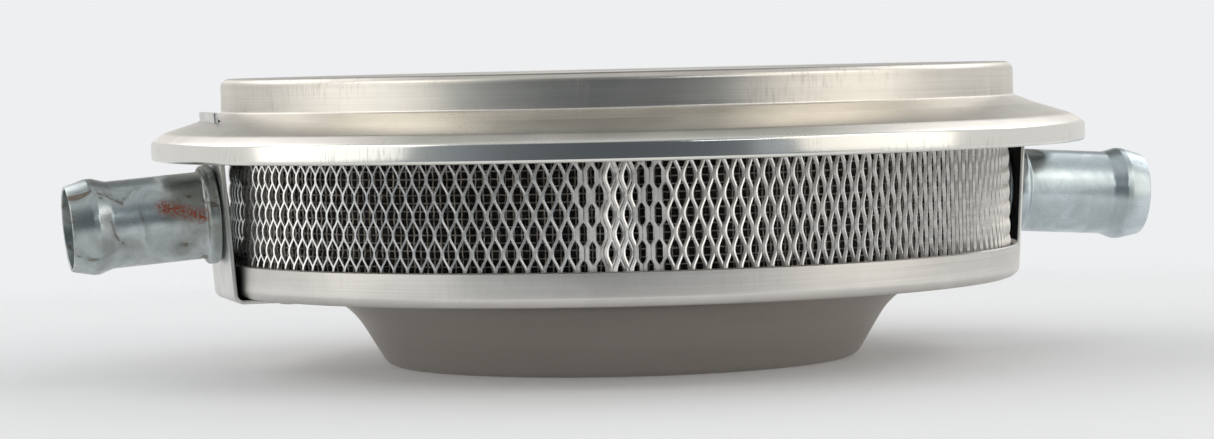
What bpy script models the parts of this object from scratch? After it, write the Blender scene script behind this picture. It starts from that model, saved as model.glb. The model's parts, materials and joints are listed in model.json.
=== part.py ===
"""Round flame-arresting air cleaner for a large carburettor.

A spun lid and a spun base pan hold a ring of expanded metal and wire cloth between them. Two strap
brackets are riveted under the pan, rise past the ring and pass through slots in the lid, and each
carries a breather hose spigot. A captive screw in the lid's well holds the cleaner down.

World frame: Z is the housing's axis, pointing up. The neck's seat rests on z = 0. Sizes are in
millimetres and are turned into metres where the meshes are made.
"""

import math

import bmesh
import bpy
from mathutils import Matrix, Vector

MM = 0.001

# Facets round a full turn
HOUSING_STEPS = 48
ELEMENT_STEPS = 36
SPIGOT_STEPS = 24
FASTENER_STEPS = 24
RIVET_STEPS = 10

# Clearances
TOUCH_GAP = 0.3
STRAP_TO_PAN_GAP = 0.2
SLOT_CLEARANCE = 0.5
SLOT_END_CLEARANCE = 3.0

# Neck, which slips over the carburettor's air horn; its seat rests on z = 0
AIR_HORN_R = 65.1
NECK_SEAL_WALL = 1.6
NECK_SEAL_LIP = 1.6
NECK_COLLAR_Z = 9.0
NECK_COLLAR_CORNER = 0.6
NECK_SEAT_WIDTH = 5.0
NECK_CORNER = 5.0
NECK_CONE_SLOPE = 0.6
NECK_FLARE = 24.0
NECK_HEIGHT = 23.6

# Base pan, spun in one piece with the neck
PAN_SHEET = 1.2
PAN_DEPTH = 10.0
PAN_CORNER = 3.0
PAN_FLOOR_WIDTH = 19.45
PAN_TO_ELEMENT = 1.5

# Lid, a spun cover with a raised plateau, a sloping shoulder and a hemmed skirt
LID_SHEET = 1.0
LID_TO_ELEMENT = 0.9
HEM_OVER_SPIGOT_BODY = 4.8
PLATEAU_CORNER = 2.5
PLATEAU_RISE = 10.0
CREASE_CORNER = 0.8
BRIM_WIDTH = 21.4
SHOULDER_WIDTH = 6.4
SHOULDER_DROP = 2.6
SHOULDER_BEND = 8.0
BROW_WIDTH = 3.9
BROW_DROP = 3.5
BROW_BEND = 7.0
SKIRT_DROP = 2.5
SKIRT_HEIGHT = 5.6
SKIRT_CORNER = 1.6
HEM_CORNER = 0.8
HEM_WIDTH = 2.6

# Well in the middle of the lid, and the captive hold-down screw
WELL_DEPTH = 9.0
WELL_SEAT_R = 15.0
WELL_WALL_DRAFT = 3.0
WELL_CORNER = 1.2
SCREW_SHANK_R = 3.1
SCREW_HOLE_CLEARANCE = 0.5
SCREW_TIP_Z = 8.0
SCREW_TIP_CHAMFER = 0.8
SCREW_HEAD_FLATS = 11.1
SCREW_HEAD_HEIGHT = 4.2
SCREW_HEAD_CHAMFER = 0.5
SEAL_WASHER_R = 12.0
SEAL_WASHER_T = 1.2
STEEL_WASHER_R = 11.0
STEEL_WASHER_T = 1.2
CLIP_R = 6.4
CLIP_T = 1.0
CAPTIVE_TRAVEL = 5.0

# Filter element: rings nested inside one another between two flat gaskets
EXPANDED_T = 1.4
CLOTH_T = 0.8
CLOTH_LAYERS = 3
LAYER_GAP = 0.5
INNER_BAND_T = 1.2
GASKET_T = 1.5
GASKET_INSET = 1.5
OUTER_BAND_COLUMNS = 36
OUTER_BAND_ROWS = 3
INNER_BAND_COLUMNS = 24
INNER_BAND_ROWS = 2
BAND_STRAND_SHARE = 0.2

# Strap brackets
STRAP_T = 1.2
STRAP_WIDTH = 36.0
STRAP_BEND = 1.8
FOOT_TO_FLARE = 0.5
TAB_WIDTH = 28.0
STRAP_SHOULDER_DROP = 3.0
RIVET_PITCH = 20.0
RIVET_R = 2.0
RIVET_HEAD_R = 3.8
RIVET_HEAD_T = 0.9
RIVET_CLEARANCE = 0.3

# Breather hose spigots
SPIGOT_BODY_R = 13.0
SPIGOT_WALL = 1.2
SPIGOT_LENGTH = 44.5
HOSE_BEAD_RISE = 1.3
HOSE_BEAD_FROM_TIP = 7.2
HOSE_BEAD_HALF_WIDTH = 5.0
TIP_TAPER = 0.3
ROOT_BEAD_RISE = 1.8
ROOT_BEAD_WIDTH = 4.0
STUB_STEP = 0.6
SWAGE_LIP = 0.8
SWAGE_T = 0.8

# How each side's bracket was set when it was fitted: direction round the axis, outward lean,
# the swaged lip's height over the pan's edge, and the tab's rise over the lid
LEFT_AZIMUTH = 195.1
LEFT_LEAN = 4.2
LEFT_LIP_OVER_PAN = 1.8
LEFT_TAB_RISE = 2.8
RIGHT_AZIMUTH = 13.2
RIGHT_LEAN = 3.6
RIGHT_LIP_OVER_PAN = 1.3
RIGHT_TAB_RISE = 0.6

# Radii worked out from the sizes above, from the neck outwards
NECK_COLLAR_R = AIR_HORN_R + NECK_SEAL_WALL + TOUCH_GAP
NECK_CONE_R = NECK_COLLAR_R + NECK_SEAT_WIDTH
NECK_CONE_TOP_R = NECK_CONE_R + NECK_HEIGHT * NECK_CONE_SLOPE
FLARE_END_R = NECK_CONE_TOP_R + NECK_FLARE * math.tan(math.atan2(1, NECK_CONE_SLOPE) / 2)
ELEMENT_R = FLARE_END_R + PAN_FLOOR_WIDTH
CLOTH_BUILD = CLOTH_LAYERS * (CLOTH_T + LAYER_GAP)
ELEMENT_INNER_R = ELEMENT_R - EXPANDED_T - CLOTH_BUILD - 2 * LAYER_GAP - INNER_BAND_T
PAN_R = ELEMENT_R + PAN_TO_ELEMENT + PAN_SHEET
PLATEAU_R = ELEMENT_R + LID_TO_ELEMENT + LID_SHEET
SHOULDER_R = PLATEAU_R + SHOULDER_WIDTH
SKIRT_R = PLATEAU_R + BRIM_WIDTH
BROW_R = SKIRT_R - BROW_WIDTH
LID_HOLE_R = SCREW_SHANK_R + SCREW_HOLE_CLEARANCE
WELL_MOUTH_R = WELL_SEAT_R + WELL_WALL_DRAFT
FOOT_END_R = FLARE_END_R + FOOT_TO_FLARE
RIVET_CIRCLE_R = (FLARE_END_R + ELEMENT_INNER_R) / 2

# The lid stands high enough for the spigots to pass between the pan's rim and the skirt's hem
LID_FALL = PLATEAU_RISE + SHOULDER_DROP + BROW_DROP + SKIRT_DROP + SKIRT_HEIGHT
HOUSING_HEIGHT = PAN_DEPTH + 2 * SPIGOT_BODY_R + HEM_OVER_SPIGOT_BODY + LID_FALL

# Heights worked out from the sizes above, from the seat upwards
PAN_FLOOR_Z = NECK_HEIGHT
PAN_INSIDE_Z = PAN_FLOOR_Z + PAN_SHEET
PAN_TOP_Z = PAN_FLOOR_Z + PAN_DEPTH
PLATEAU_Z = PAN_FLOOR_Z + HOUSING_HEIGHT
CREASE_Z = PLATEAU_Z - PLATEAU_RISE
SHOULDER_Z = CREASE_Z - SHOULDER_DROP
BROW_Z = SHOULDER_Z - BROW_DROP
SKIRT_TOP_Z = BROW_Z - SKIRT_DROP
SKIRT_BOTTOM_Z = SKIRT_TOP_Z - SKIRT_HEIGHT
WELL_SEAT_Z = PLATEAU_Z - WELL_DEPTH
ELEMENT_BOTTOM_Z = PAN_INSIDE_Z + GASKET_T + 2 * TOUCH_GAP
ELEMENT_TOP_Z = PLATEAU_Z - LID_SHEET - GASKET_T - 2 * TOUCH_GAP

# The spigots' radii
SPIGOT_BORE_R = SPIGOT_BODY_R - SPIGOT_WALL
HOSE_BEAD_R = SPIGOT_BODY_R + HOSE_BEAD_RISE
ROOT_BEAD_R = SPIGOT_BODY_R + ROOT_BEAD_RISE
STUB_R = SPIGOT_BODY_R - STUB_STEP
STUB_BORE_R = STUB_R - SPIGOT_WALL
SWAGE_R = STUB_R + SWAGE_LIP


def material(name, colour, metallic, roughness):
    """Make a plain Principled material."""
    made = bpy.data.materials.new(name)
    made.use_nodes = True
    shader = made.node_tree.nodes["Principled BSDF"]
    shader.inputs["Base Color"].default_value = (*colour, 1.0)
    shader.inputs["Metallic"].default_value = metallic
    shader.inputs["Roughness"].default_value = roughness
    return made


def add_object(name, work, finish, place=None):
    """Turn a bmesh in millimetres into a placed object in metres."""
    bmesh.ops.remove_doubles(work, verts=work.verts, dist=1e-4)
    bmesh.ops.recalc_face_normals(work, faces=work.faces)
    if work.calc_volume(signed=True) < 0:
        bmesh.ops.reverse_faces(work, faces=work.faces)
    bmesh.ops.scale(work, vec=(MM, MM, MM), verts=work.verts)
    mesh = bpy.data.meshes.new(name)
    work.to_mesh(mesh)
    work.free()
    mesh.shade_smooth()
    mesh.set_sharp_from_angle(angle=math.radians(35))
    made = bpy.data.objects.new(name, mesh)
    bpy.context.scene.collection.objects.link(made)
    if finish is not None:
        mesh.materials.append(finish)
    if place is not None:
        made.matrix_world = place
    return made


def fold(corners):
    """Trace an outline through (r, z, bend radius) corners, with an arc in each bend."""
    path = []
    for index, (r, z, bend) in enumerate(corners):
        here = Vector((r, z))
        if bend == 0 or index in (0, len(corners) - 1):
            path.append(here)
            continue
        before = (Vector(corners[index - 1][:2]) - here).normalized()
        after = (Vector(corners[index + 1][:2]) - here).normalized()
        turn = math.pi - before.angle(after)
        reach = bend * math.tan(turn / 2)
        start = here + before * reach
        centre = here + (before + after).normalized() * (bend / math.cos(turn / 2))
        side = 1 if before.x * after.y - before.y * after.x < 0 else -1
        steps = max(1, round(turn * math.sqrt(bend)))
        arm = start - centre
        for step in range(steps + 1):
            angle = side * turn * step / steps
            c, s = math.cos(angle), math.sin(angle)
            path.append(centre + Vector((arm.x * c - arm.y * s, arm.x * s + arm.y * c)))
    return path


def sheet(path, thickness):
    """Close an open path into the outline of sheet metal, thickened to the left of its run."""
    other = []
    for index, here in enumerate(path):
        normals = []
        for first, last in ((index - 1, index), (index, index + 1)):
            if first >= 0 and last < len(path):
                run = (path[last] - path[first]).normalized()
                normals.append(Vector((-run.y, run.x)))
        mitre = sum(normals, Vector((0, 0))).normalized()
        other.append(here + mitre * (thickness / mitre.dot(normals[0])))
    return path + other[::-1]


def spun(outline, steps):
    """Spin a closed outline of (r, z) points round Z."""
    work = bmesh.new()
    points = [work.verts.new((r, 0, z)) for r, z in outline]
    edges = [work.edges.new((points[i - 1], points[i])) for i in range(len(points))]
    axis_edges = [e for e in edges if max(v.co.x for v in e.verts) < 1e-6]
    bmesh.ops.delete(work, geom=axis_edges, context="EDGES_FACES")
    bmesh.ops.spin(
        work, geom=work.verts[:] + work.edges[:], cent=(0, 0, 0), axis=(0, 0, 1),
        angle=math.tau, steps=steps, use_merge=True,
    )
    return work


def box_outline(inner_r, outer_r, low, high):
    """Outline of a plain ring."""
    return [(inner_r, low), (outer_r, low), (outer_r, high), (inner_r, high)]


def prism(outline, low, high):
    """Extrude an (x, z) outline along Y from low to high."""
    work = bmesh.new()
    face = work.faces.new([work.verts.new((x, low, z)) for x, z in outline])
    grown = bmesh.ops.extrude_face_region(work, geom=[face])["geom"]
    moved = [item for item in grown if isinstance(item, bmesh.types.BMVert)]
    bmesh.ops.translate(work, vec=(0, high - low, 0), verts=moved)
    return work


def cylinder(radius, low, high, steps):
    """A solid cylinder along Z."""
    return spun([(0, low), (radius, low), (radius, high), (0, high)], steps)


def cut(target, cutter):
    """Subtract a hidden cutter from an object."""
    cutter.display_type = "WIRE"
    cutter.hide_render = True
    cutter.hide_viewport = False
    subtract = target.modifiers.new("cut by " + cutter.name, "BOOLEAN")
    subtract.operation = "DIFFERENCE"
    subtract.solver = "EXACT"
    subtract.object = cutter


class Side:
    """Where one bracket stands, and the frames of its strap, spigot and rivets."""

    def __init__(self, name, azimuth, lean, lip_over_pan, tab_rise):
        self.name = name
        self.lean = math.radians(lean)
        self.spigot_z = PAN_TOP_Z + lip_over_pan + SWAGE_R
        self.tab_rise = tab_rise
        self.turn = Matrix.Rotation(math.radians(azimuth), 4, "Z")

    def strap_inner_x(self, z):
        """Distance from the axis to the strap's inner face at a height."""
        tangent_z = PAN_FLOOR_Z + PAN_CORNER
        return PAN_R + STRAP_TO_PAN_GAP + (z - tangent_z) * math.tan(self.lean)

    def strap_outer_x(self, z):
        """Distance from the axis to the strap's outer face at a height."""
        return self.strap_inner_x(z) + STRAP_T / math.cos(self.lean)

    def top_z(self):
        """Height of the tab's end, above the lid's shoulder."""
        return SHOULDER_Z + self.tab_rise

    def spigot_frame(self):
        """Frame on the strap's outer face whose Z points along the spigot."""
        root = Vector((self.strap_outer_x(self.spigot_z), 0, self.spigot_z))
        tilt = Matrix.Rotation(math.pi / 2 + self.lean, 4, "Y")
        return self.turn @ Matrix.Translation(root * MM) @ tilt


def lid_outline():
    """The lid's section, from the screw hole out to the hem."""
    top = fold([
        (LID_HOLE_R, WELL_SEAT_Z, 0),
        (WELL_SEAT_R, WELL_SEAT_Z, WELL_CORNER),
        (WELL_MOUTH_R, PLATEAU_Z, WELL_CORNER + LID_SHEET),
        (PLATEAU_R, PLATEAU_Z, PLATEAU_CORNER),
        (PLATEAU_R, CREASE_Z, CREASE_CORNER),
        (SHOULDER_R, SHOULDER_Z, SHOULDER_BEND),
        (BROW_R, BROW_Z, BROW_BEND),
        (SKIRT_R, SKIRT_TOP_Z, SKIRT_CORNER),
        (SKIRT_R, SKIRT_BOTTOM_Z, HEM_CORNER),
        (SKIRT_R - HEM_WIDTH, SKIRT_BOTTOM_Z, 0),
    ])
    return sheet(top[::-1], LID_SHEET)


def pan_outline():
    """The pan's section, from the neck's collar down, out along the neck and up its wall."""
    underside = fold([
        (NECK_COLLAR_R, NECK_COLLAR_Z, 0),
        (NECK_COLLAR_R, 0, NECK_COLLAR_CORNER),
        (NECK_CONE_R, 0, NECK_CORNER),
        (NECK_CONE_TOP_R, PAN_FLOOR_Z, NECK_FLARE),
        (PAN_R, PAN_FLOOR_Z, PAN_CORNER),
        (PAN_R, PAN_TOP_Z, 0),
    ])
    return sheet(underside, PAN_SHEET)


def neck_seal_outline():
    """A rubber liner inside the collar, with a lip over the collar's edge."""
    lip_z = NECK_COLLAR_Z + TOUCH_GAP
    wall_r = AIR_HORN_R + NECK_SEAL_WALL
    return [
        (AIR_HORN_R, NECK_COLLAR_CORNER),
        (wall_r, NECK_COLLAR_CORNER),
        (wall_r, lip_z),
        (NECK_COLLAR_R + PAN_SHEET, lip_z),
        (NECK_COLLAR_R + PAN_SHEET, lip_z + NECK_SEAL_LIP),
        (AIR_HORN_R, lip_z + NECK_SEAL_LIP),
    ]


def lattice_band(outer_r, inner_r, columns, rows):
    """A tube pierced by staggered diamonds, closed by solid half diamonds at both ends."""
    work = bmesh.new()
    divisions = 2 * columns
    height = ELEMENT_TOP_Z - ELEMENT_BOTTOM_Z
    half_row = height / (rows + 1)
    places = {}

    def corner(radius, u, v):
        key = (radius, round(u % divisions, 6) % divisions, round(v, 6))
        if key not in places:
            angle = math.tau * u / divisions
            z = ELEMENT_BOTTOM_Z + v * half_row
            # a corner between two columns lies on the facet's flat, not on the full circle
            whole = math.floor(u)
            flat = Vector((0, 0))
            for share, step in ((1 - (u - whole), whole), (u - whole, whole + 1)):
                bearing = math.tau * step / divisions
                flat += share * radius * Vector((math.cos(bearing), math.sin(bearing)))
            if u == whole:
                flat = radius * Vector((math.cos(angle), math.sin(angle)))
            places[key] = work.verts.new((flat.x, flat.y, z))
        return places[key]

    def plate(corners):
        """One patch on the outer face and its twin on the inner face."""
        work.faces.new([corner(outer_r, u, v) for u, v in corners])
        work.faces.new([corner(inner_r, u, v) for u, v in reversed(corners)])

    shrink = 1 - BAND_STRAND_SHARE
    for row in range(rows):
        for column in range(columns):
            u = 2 * column + (row % 2)
            v = row + 1
            outside = [(u - 1, v), (u, v - 1), (u + 1, v), (u, v + 1)]
            hole = [(u + (a - u) * shrink, v + (b - v) * shrink) for a, b in outside]
            for side in range(4):
                after = (side + 1) % 4
                plate([outside[side], outside[after], hole[after], hole[side]])
                (a, b), (c, d) = hole[side], hole[after]
                work.faces.new([
                    corner(outer_r, a, b), corner(outer_r, c, d),
                    corner(inner_r, c, d), corner(inner_r, a, b),
                ])
    last_row_shift = (rows - 1) % 2
    for column in range(columns):
        low = 2 * column + 1
        plate([(low - 1, 0), (low, 0), (low + 1, 0), (low, 1)])
        high = 2 * column + 1 + last_row_shift
        plate([(high + 1, rows + 1), (high, rows + 1), (high - 1, rows + 1), (high, rows)])
    for step in range(divisions):
        for v in (0, rows + 1):
            work.faces.new([
                corner(outer_r, step, v), corner(outer_r, step + 1, v),
                corner(inner_r, step + 1, v), corner(inner_r, step, v),
            ])
    return work


def strap_outline(side):
    """Side view of a bracket: foot under the pan, bend, and the leaning strap with its tab."""
    foot_z = PAN_FLOOR_Z - STRAP_TO_PAN_GAP - STRAP_T
    outer_bend = STRAP_BEND + STRAP_T
    path = fold([
        (FOOT_END_R, foot_z, 0),
        (side.strap_outer_x(foot_z), foot_z, outer_bend),
        (side.strap_outer_x(side.top_z()), side.top_z(), 0),
    ])
    return sheet(path, STRAP_T)


def rivet_places():
    """Centres of a foot's two rivets, in the bracket's own frame."""
    offset = RIVET_PITCH / 2
    x = math.sqrt(RIVET_CIRCLE_R**2 - offset**2)
    return [Vector((x, y, 0)) for y in (-offset, offset)]


def rivet_hole_cutters(side, radius, label):
    """A cutter through the foot and the pan at each rivet."""
    cutters = []
    for number, centre in enumerate(rivet_places(), 1):
        work = cylinder(radius, PAN_FLOOR_Z - 10, PAN_FLOOR_Z + 10, RIVET_STEPS)
        place = side.turn @ Matrix.Translation(centre * MM)
        cutters.append(add_object(f"cutter_{side.name}_{label}_{number}", work, None, place))
    return cutters


def make_bracket(side, finish):
    """One strap bracket with its spigot hole, rivet holes and narrowed tab."""
    half = STRAP_WIDTH / 2
    bracket = add_object(
        f"{side.name}_bracket", prism(strap_outline(side), -half, half), finish, side.turn
    )
    shoulder_z = SHOULDER_Z - LID_SHEET - STRAP_SHOULDER_DROP
    for number, (low, high) in enumerate(((-half - 1, -TAB_WIDTH / 2), (TAB_WIDTH / 2, half + 1)), 1):
        x = side.strap_outer_x(shoulder_z)
        outline = [(x - 10, shoulder_z), (x + 10, shoulder_z), (x + 10, 100), (x - 10, 100)]
        notch = add_object(f"cutter_{side.name}_notch_{number}", prism(outline, low, high), None, side.turn)
        cut(bracket, notch)
    hole = cylinder(STUB_R + TOUCH_GAP, -10, 10, SPIGOT_STEPS)
    cut(bracket, add_object(f"cutter_{side.name}_spigot_hole", hole, None, side.spigot_frame()))
    for cutter in rivet_hole_cutters(side, RIVET_R + RIVET_CLEARANCE, "foot"):
        cut(bracket, cutter)
    return bracket


def cut_lid_slot(lid, side):
    """Cut the slot that a bracket's tab passes through."""
    low_z = SHOULDER_Z - 8
    high_z = SHOULDER_Z + 8
    outline = [
        (side.strap_inner_x(low_z) - SLOT_CLEARANCE, low_z),
        (side.strap_outer_x(low_z) + SLOT_CLEARANCE, low_z),
        (side.strap_outer_x(high_z) + SLOT_CLEARANCE, high_z),
        (side.strap_inner_x(high_z) - SLOT_CLEARANCE, high_z),
    ]
    half = TAB_WIDTH / 2 + SLOT_END_CLEARANCE
    cut(lid, add_object(f"cutter_{side.name}_slot", prism(outline, -half, half), None, side.turn))


def spigot_outline():
    """Section of a hose spigot, from its swaged inner end to its tip. Z = 0 is the strap's face."""
    tip = SPIGOT_LENGTH
    bead = tip - HOSE_BEAD_FROM_TIP
    back = -(STRAP_T + TOUCH_GAP)
    root_end = TOUCH_GAP + ROOT_BEAD_WIDTH
    soft = ROOT_BEAD_WIDTH / 4
    return [
        (STUB_BORE_R, back - SWAGE_T),
        (SWAGE_R, back - SWAGE_T),
        (SWAGE_R, back),
        (STUB_R, back),
        (STUB_R, TOUCH_GAP),
        (ROOT_BEAD_R - soft / 2, TOUCH_GAP),
        (ROOT_BEAD_R, TOUCH_GAP + soft),
        (ROOT_BEAD_R, root_end - soft),
        (SPIGOT_BODY_R, root_end),
        (SPIGOT_BODY_R, bead - HOSE_BEAD_HALF_WIDTH),
        (HOSE_BEAD_R, bead - 1),
        (HOSE_BEAD_R, bead + 1),
        (SPIGOT_BODY_R - TIP_TAPER, tip),
        (SPIGOT_BORE_R, tip),
        (SPIGOT_BORE_R, TOUCH_GAP + soft),
        (STUB_BORE_R, TOUCH_GAP - soft),
    ]


def make_spigot(side, finish):
    """One hose spigot, swaged over behind the strap."""
    spigot = spun(spigot_outline(), SPIGOT_STEPS)
    add_object(f"{side.name}_spigot", spigot, finish, side.spigot_frame())


def make_rivets(side, finish):
    """The two rivets that tie a bracket's foot to the pan."""
    low = PAN_FLOOR_Z - STRAP_TO_PAN_GAP - STRAP_T - TOUCH_GAP / 3
    high = PAN_INSIDE_Z + TOUCH_GAP / 3
    edge = RIVET_HEAD_T / 2
    outline = [
        (0, low - RIVET_HEAD_T),
        (RIVET_R, low - RIVET_HEAD_T),
        (RIVET_HEAD_R, low - edge),
        (RIVET_HEAD_R, low),
        (RIVET_R, low),
        (RIVET_R, high),
        (RIVET_HEAD_R, high),
        (RIVET_HEAD_R, high + edge),
        (RIVET_R, high + RIVET_HEAD_T),
        (0, high + RIVET_HEAD_T),
    ]
    for number, centre in enumerate(rivet_places(), 1):
        place = side.turn @ Matrix.Translation(centre * MM)
        add_object(f"{side.name}_foot_rivet_{number}", spun(outline, RIVET_STEPS), finish, place)


def make_element(expanded, cloth, rubber):
    """The ring of expanded metal and wire cloth, and the gaskets above and below it."""
    inner_r = ELEMENT_R - EXPANDED_T
    band = lattice_band(ELEMENT_R, inner_r, OUTER_BAND_COLUMNS, OUTER_BAND_ROWS)
    add_object("outer_mesh_band", band, expanded)
    for layer in range(1, CLOTH_LAYERS + 1):
        outer_r = inner_r - LAYER_GAP
        inner_r = outer_r - CLOTH_T
        ring = box_outline(inner_r, outer_r, ELEMENT_BOTTOM_Z, ELEMENT_TOP_Z)
        add_object(f"wire_cloth_layer_{layer}", spun(ring, ELEMENT_STEPS), cloth)
    outer_r = inner_r - 2 * LAYER_GAP
    band = lattice_band(outer_r, outer_r - INNER_BAND_T, INNER_BAND_COLUMNS, INNER_BAND_ROWS)
    add_object("inner_mesh_band", band, expanded)
    for name, low in (
        ("lower_element_gasket", PAN_INSIDE_Z + TOUCH_GAP),
        ("upper_element_gasket", ELEMENT_TOP_Z + TOUCH_GAP),
    ):
        ring = box_outline(ELEMENT_INNER_R, ELEMENT_R - GASKET_INSET, low, low + GASKET_T)
        add_object(name, spun(ring, ELEMENT_STEPS), rubber)


def make_hold_down(steel, rubber):
    """The captive screw with its washers and clip, each with its origin on the screw's axis."""
    seal_low = WELL_SEAT_Z + TOUCH_GAP
    washer_low = seal_low + SEAL_WASHER_T + TOUCH_GAP
    head_low = washer_low + STEEL_WASHER_T + TOUCH_GAP
    head_high = head_low + SCREW_HEAD_HEIGHT
    clip_high = WELL_SEAT_Z - LID_SHEET - CAPTIVE_TRAVEL - TOUCH_GAP
    bore_r = SCREW_SHANK_R + TOUCH_GAP

    ring = box_outline(LID_HOLE_R, SEAL_WASHER_R, seal_low, seal_low + SEAL_WASHER_T)
    add_object("well_seal_washer", spun(ring, FASTENER_STEPS), rubber)
    ring = box_outline(bore_r, STEEL_WASHER_R, washer_low, washer_low + STEEL_WASHER_T)
    add_object("hold_down_washer", spun(ring, FASTENER_STEPS), steel)
    ring = box_outline(bore_r, CLIP_R, clip_high - CLIP_T, clip_high)
    add_object("screw_retaining_clip", spun(ring, FASTENER_STEPS), steel)

    head = cylinder(SCREW_HEAD_FLATS / 2 / math.cos(math.pi / 6), head_low, head_high, 6)
    top_rim = [e for e in head.edges if min(v.co.z for v in e.verts) > head_high - 1e-6
               and min(v.co.xy.length for v in e.verts) > 1]
    bmesh.ops.bevel(head, geom=top_rim, offset=SCREW_HEAD_CHAMFER, segments=1, affect="EDGES")
    screw = add_object("hold_down_screw", head, steel)
    shank = spun([
        (0, SCREW_TIP_Z),
        (SCREW_SHANK_R - SCREW_TIP_CHAMFER, SCREW_TIP_Z),
        (SCREW_SHANK_R, SCREW_TIP_Z + SCREW_TIP_CHAMFER),
        (SCREW_SHANK_R, head_low + 1),
        (0, head_low + 1),
    ], FASTENER_STEPS)
    join = screw.modifiers.new("shank", "BOOLEAN")
    join.operation = "UNION"
    join.solver = "EXACT"
    join.object = add_object("cutter_screw_shank", shank, None)
    join.object.display_type = "WIRE"
    join.object.hide_render = True


def main():
    """Build the whole air cleaner."""
    for old in list(bpy.data.objects):
        bpy.data.objects.remove(old, do_unlink=True)

    lid_metal = material("satin_lid_aluminium", (0.66, 0.64, 0.60), 1.0, 0.34)
    pan_metal = material("satin_pan_aluminium", (0.60, 0.58, 0.55), 1.0, 0.42)
    strap_metal = material("strap_aluminium", (0.62, 0.61, 0.58), 1.0, 0.40)
    expanded = material("expanded_aluminium", (0.70, 0.68, 0.64), 1.0, 0.38)
    cloth = material("wire_cloth", (0.20, 0.19, 0.18), 1.0, 0.55)
    zinc = material("zinc_plated_steel", (0.42, 0.46, 0.48), 1.0, 0.30)
    rubber = material("black_rubber", (0.02, 0.02, 0.02), 0.0, 0.75)

    sides = [
        Side("left", LEFT_AZIMUTH, LEFT_LEAN, LEFT_LIP_OVER_PAN, LEFT_TAB_RISE),
        Side("right", RIGHT_AZIMUTH, RIGHT_LEAN, RIGHT_LIP_OVER_PAN, RIGHT_TAB_RISE),
    ]

    lid = add_object("top_cover", spun(lid_outline(), HOUSING_STEPS), lid_metal)
    pan = add_object("base_pan", spun(pan_outline(), HOUSING_STEPS), pan_metal)
    add_object("neck_seal_ring", spun(neck_seal_outline(), HOUSING_STEPS), rubber)
    make_element(expanded, cloth, rubber)
    make_hold_down(zinc, rubber)
    for side in sides:
        make_bracket(side, strap_metal)
        make_spigot(side, zinc)
        make_rivets(side, zinc)
        cut_lid_slot(lid, side)
        for cutter in rivet_hole_cutters(side, RIVET_R + RIVET_CLEARANCE, "pan"):
            cut(pan, cutter)


main()
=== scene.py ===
"""The looks of a round flame-arresting air cleaner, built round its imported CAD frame.

Each sub-assembly is a class that knows its own sizes, builds its meshes and dresses them. Each
finish is a frozen dataclass that builds one node-based material. Sizes are in millimetres unless a
name says otherwise, and become metres where a mesh or a node tree is made.
"""

from __future__ import annotations

import json  # noqa: E402
import logging  # noqa: E402
import math  # noqa: E402
from collections.abc import Callable, Sequence  # noqa: E402
from dataclasses import dataclass, field  # noqa: E402
from enum import Enum  # noqa: E402

import bmesh  # noqa: E402
import bpy  # noqa: E402
import numpy as np  # noqa: E402
from mathutils import Matrix, Vector  # noqa: E402

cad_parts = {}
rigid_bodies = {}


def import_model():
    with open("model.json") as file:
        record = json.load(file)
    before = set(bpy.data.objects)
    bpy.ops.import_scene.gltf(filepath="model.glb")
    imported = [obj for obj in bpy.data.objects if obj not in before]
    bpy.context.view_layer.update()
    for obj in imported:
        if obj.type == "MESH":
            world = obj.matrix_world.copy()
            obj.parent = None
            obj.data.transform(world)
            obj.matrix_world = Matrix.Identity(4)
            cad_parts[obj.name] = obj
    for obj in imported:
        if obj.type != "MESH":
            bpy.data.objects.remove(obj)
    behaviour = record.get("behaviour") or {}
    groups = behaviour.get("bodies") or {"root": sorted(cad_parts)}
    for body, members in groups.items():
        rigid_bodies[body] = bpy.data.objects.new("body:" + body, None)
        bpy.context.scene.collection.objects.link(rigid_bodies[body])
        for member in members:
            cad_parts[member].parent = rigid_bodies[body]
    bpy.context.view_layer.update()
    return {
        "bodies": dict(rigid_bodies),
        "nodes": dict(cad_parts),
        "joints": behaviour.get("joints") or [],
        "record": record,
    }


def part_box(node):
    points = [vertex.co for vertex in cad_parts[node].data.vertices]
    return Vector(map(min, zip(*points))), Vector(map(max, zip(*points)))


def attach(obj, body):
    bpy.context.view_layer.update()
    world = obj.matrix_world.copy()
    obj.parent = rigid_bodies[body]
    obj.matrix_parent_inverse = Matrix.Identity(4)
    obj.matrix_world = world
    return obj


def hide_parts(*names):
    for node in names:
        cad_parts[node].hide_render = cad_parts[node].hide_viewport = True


LOG = logging.getLogger("air_cleaner")
MM = 0.001
# name of the face attribute that tells an expanded strand's sheared edges from its rolled faces
SHEARED = "sheared"
# radius at which a tool line's length is true
TYPICAL_R_MM = 110
# how fast a nick's outline wavers
NICK_WAVER_MM = 1.3
SHARP_EDGE = math.radians(38)

Point = tuple[float, float]
Corner = tuple[float, float, float]


class Body(str, Enum):
    """The rigid bodies of the frame that a piece can ride on."""

    HOUSING = "housing"
    WASHER = "captive_washer"
    SCREW = "captive_screw"


class Slot(str, Enum):
    """The material slots that the record names."""

    LID = "lid_aluminium"
    PAN = "pan_aluminium"
    STRAP = "strap_aluminium"
    MESH = "expanded_aluminium"
    CLOTH = "wire_cloth"
    STEEL = "zinc_steel"
    RUBBER = "black_rubber"


# ---------------------------------------------------------------------------------------------
# Colours and nodes
# ---------------------------------------------------------------------------------------------


def linear(hex_code: str) -> tuple[float, float, float, float]:
    """Turn an sRGB hex colour into linear RGBA.

    Args:
        hex_code: A colour such as "#c8c4bd".

    Returns:
        Linear red, green and blue, and an alpha of 1.
    """
    parts = [int(hex_code[i : i + 2], 16) / 255 for i in (1, 3, 5)]
    r, g, b = (c / 12.92 if c <= 0.04045 else ((c + 0.055) / 1.055) ** 2.4 for c in parts)
    return (r, g, b, 1.0)


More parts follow.
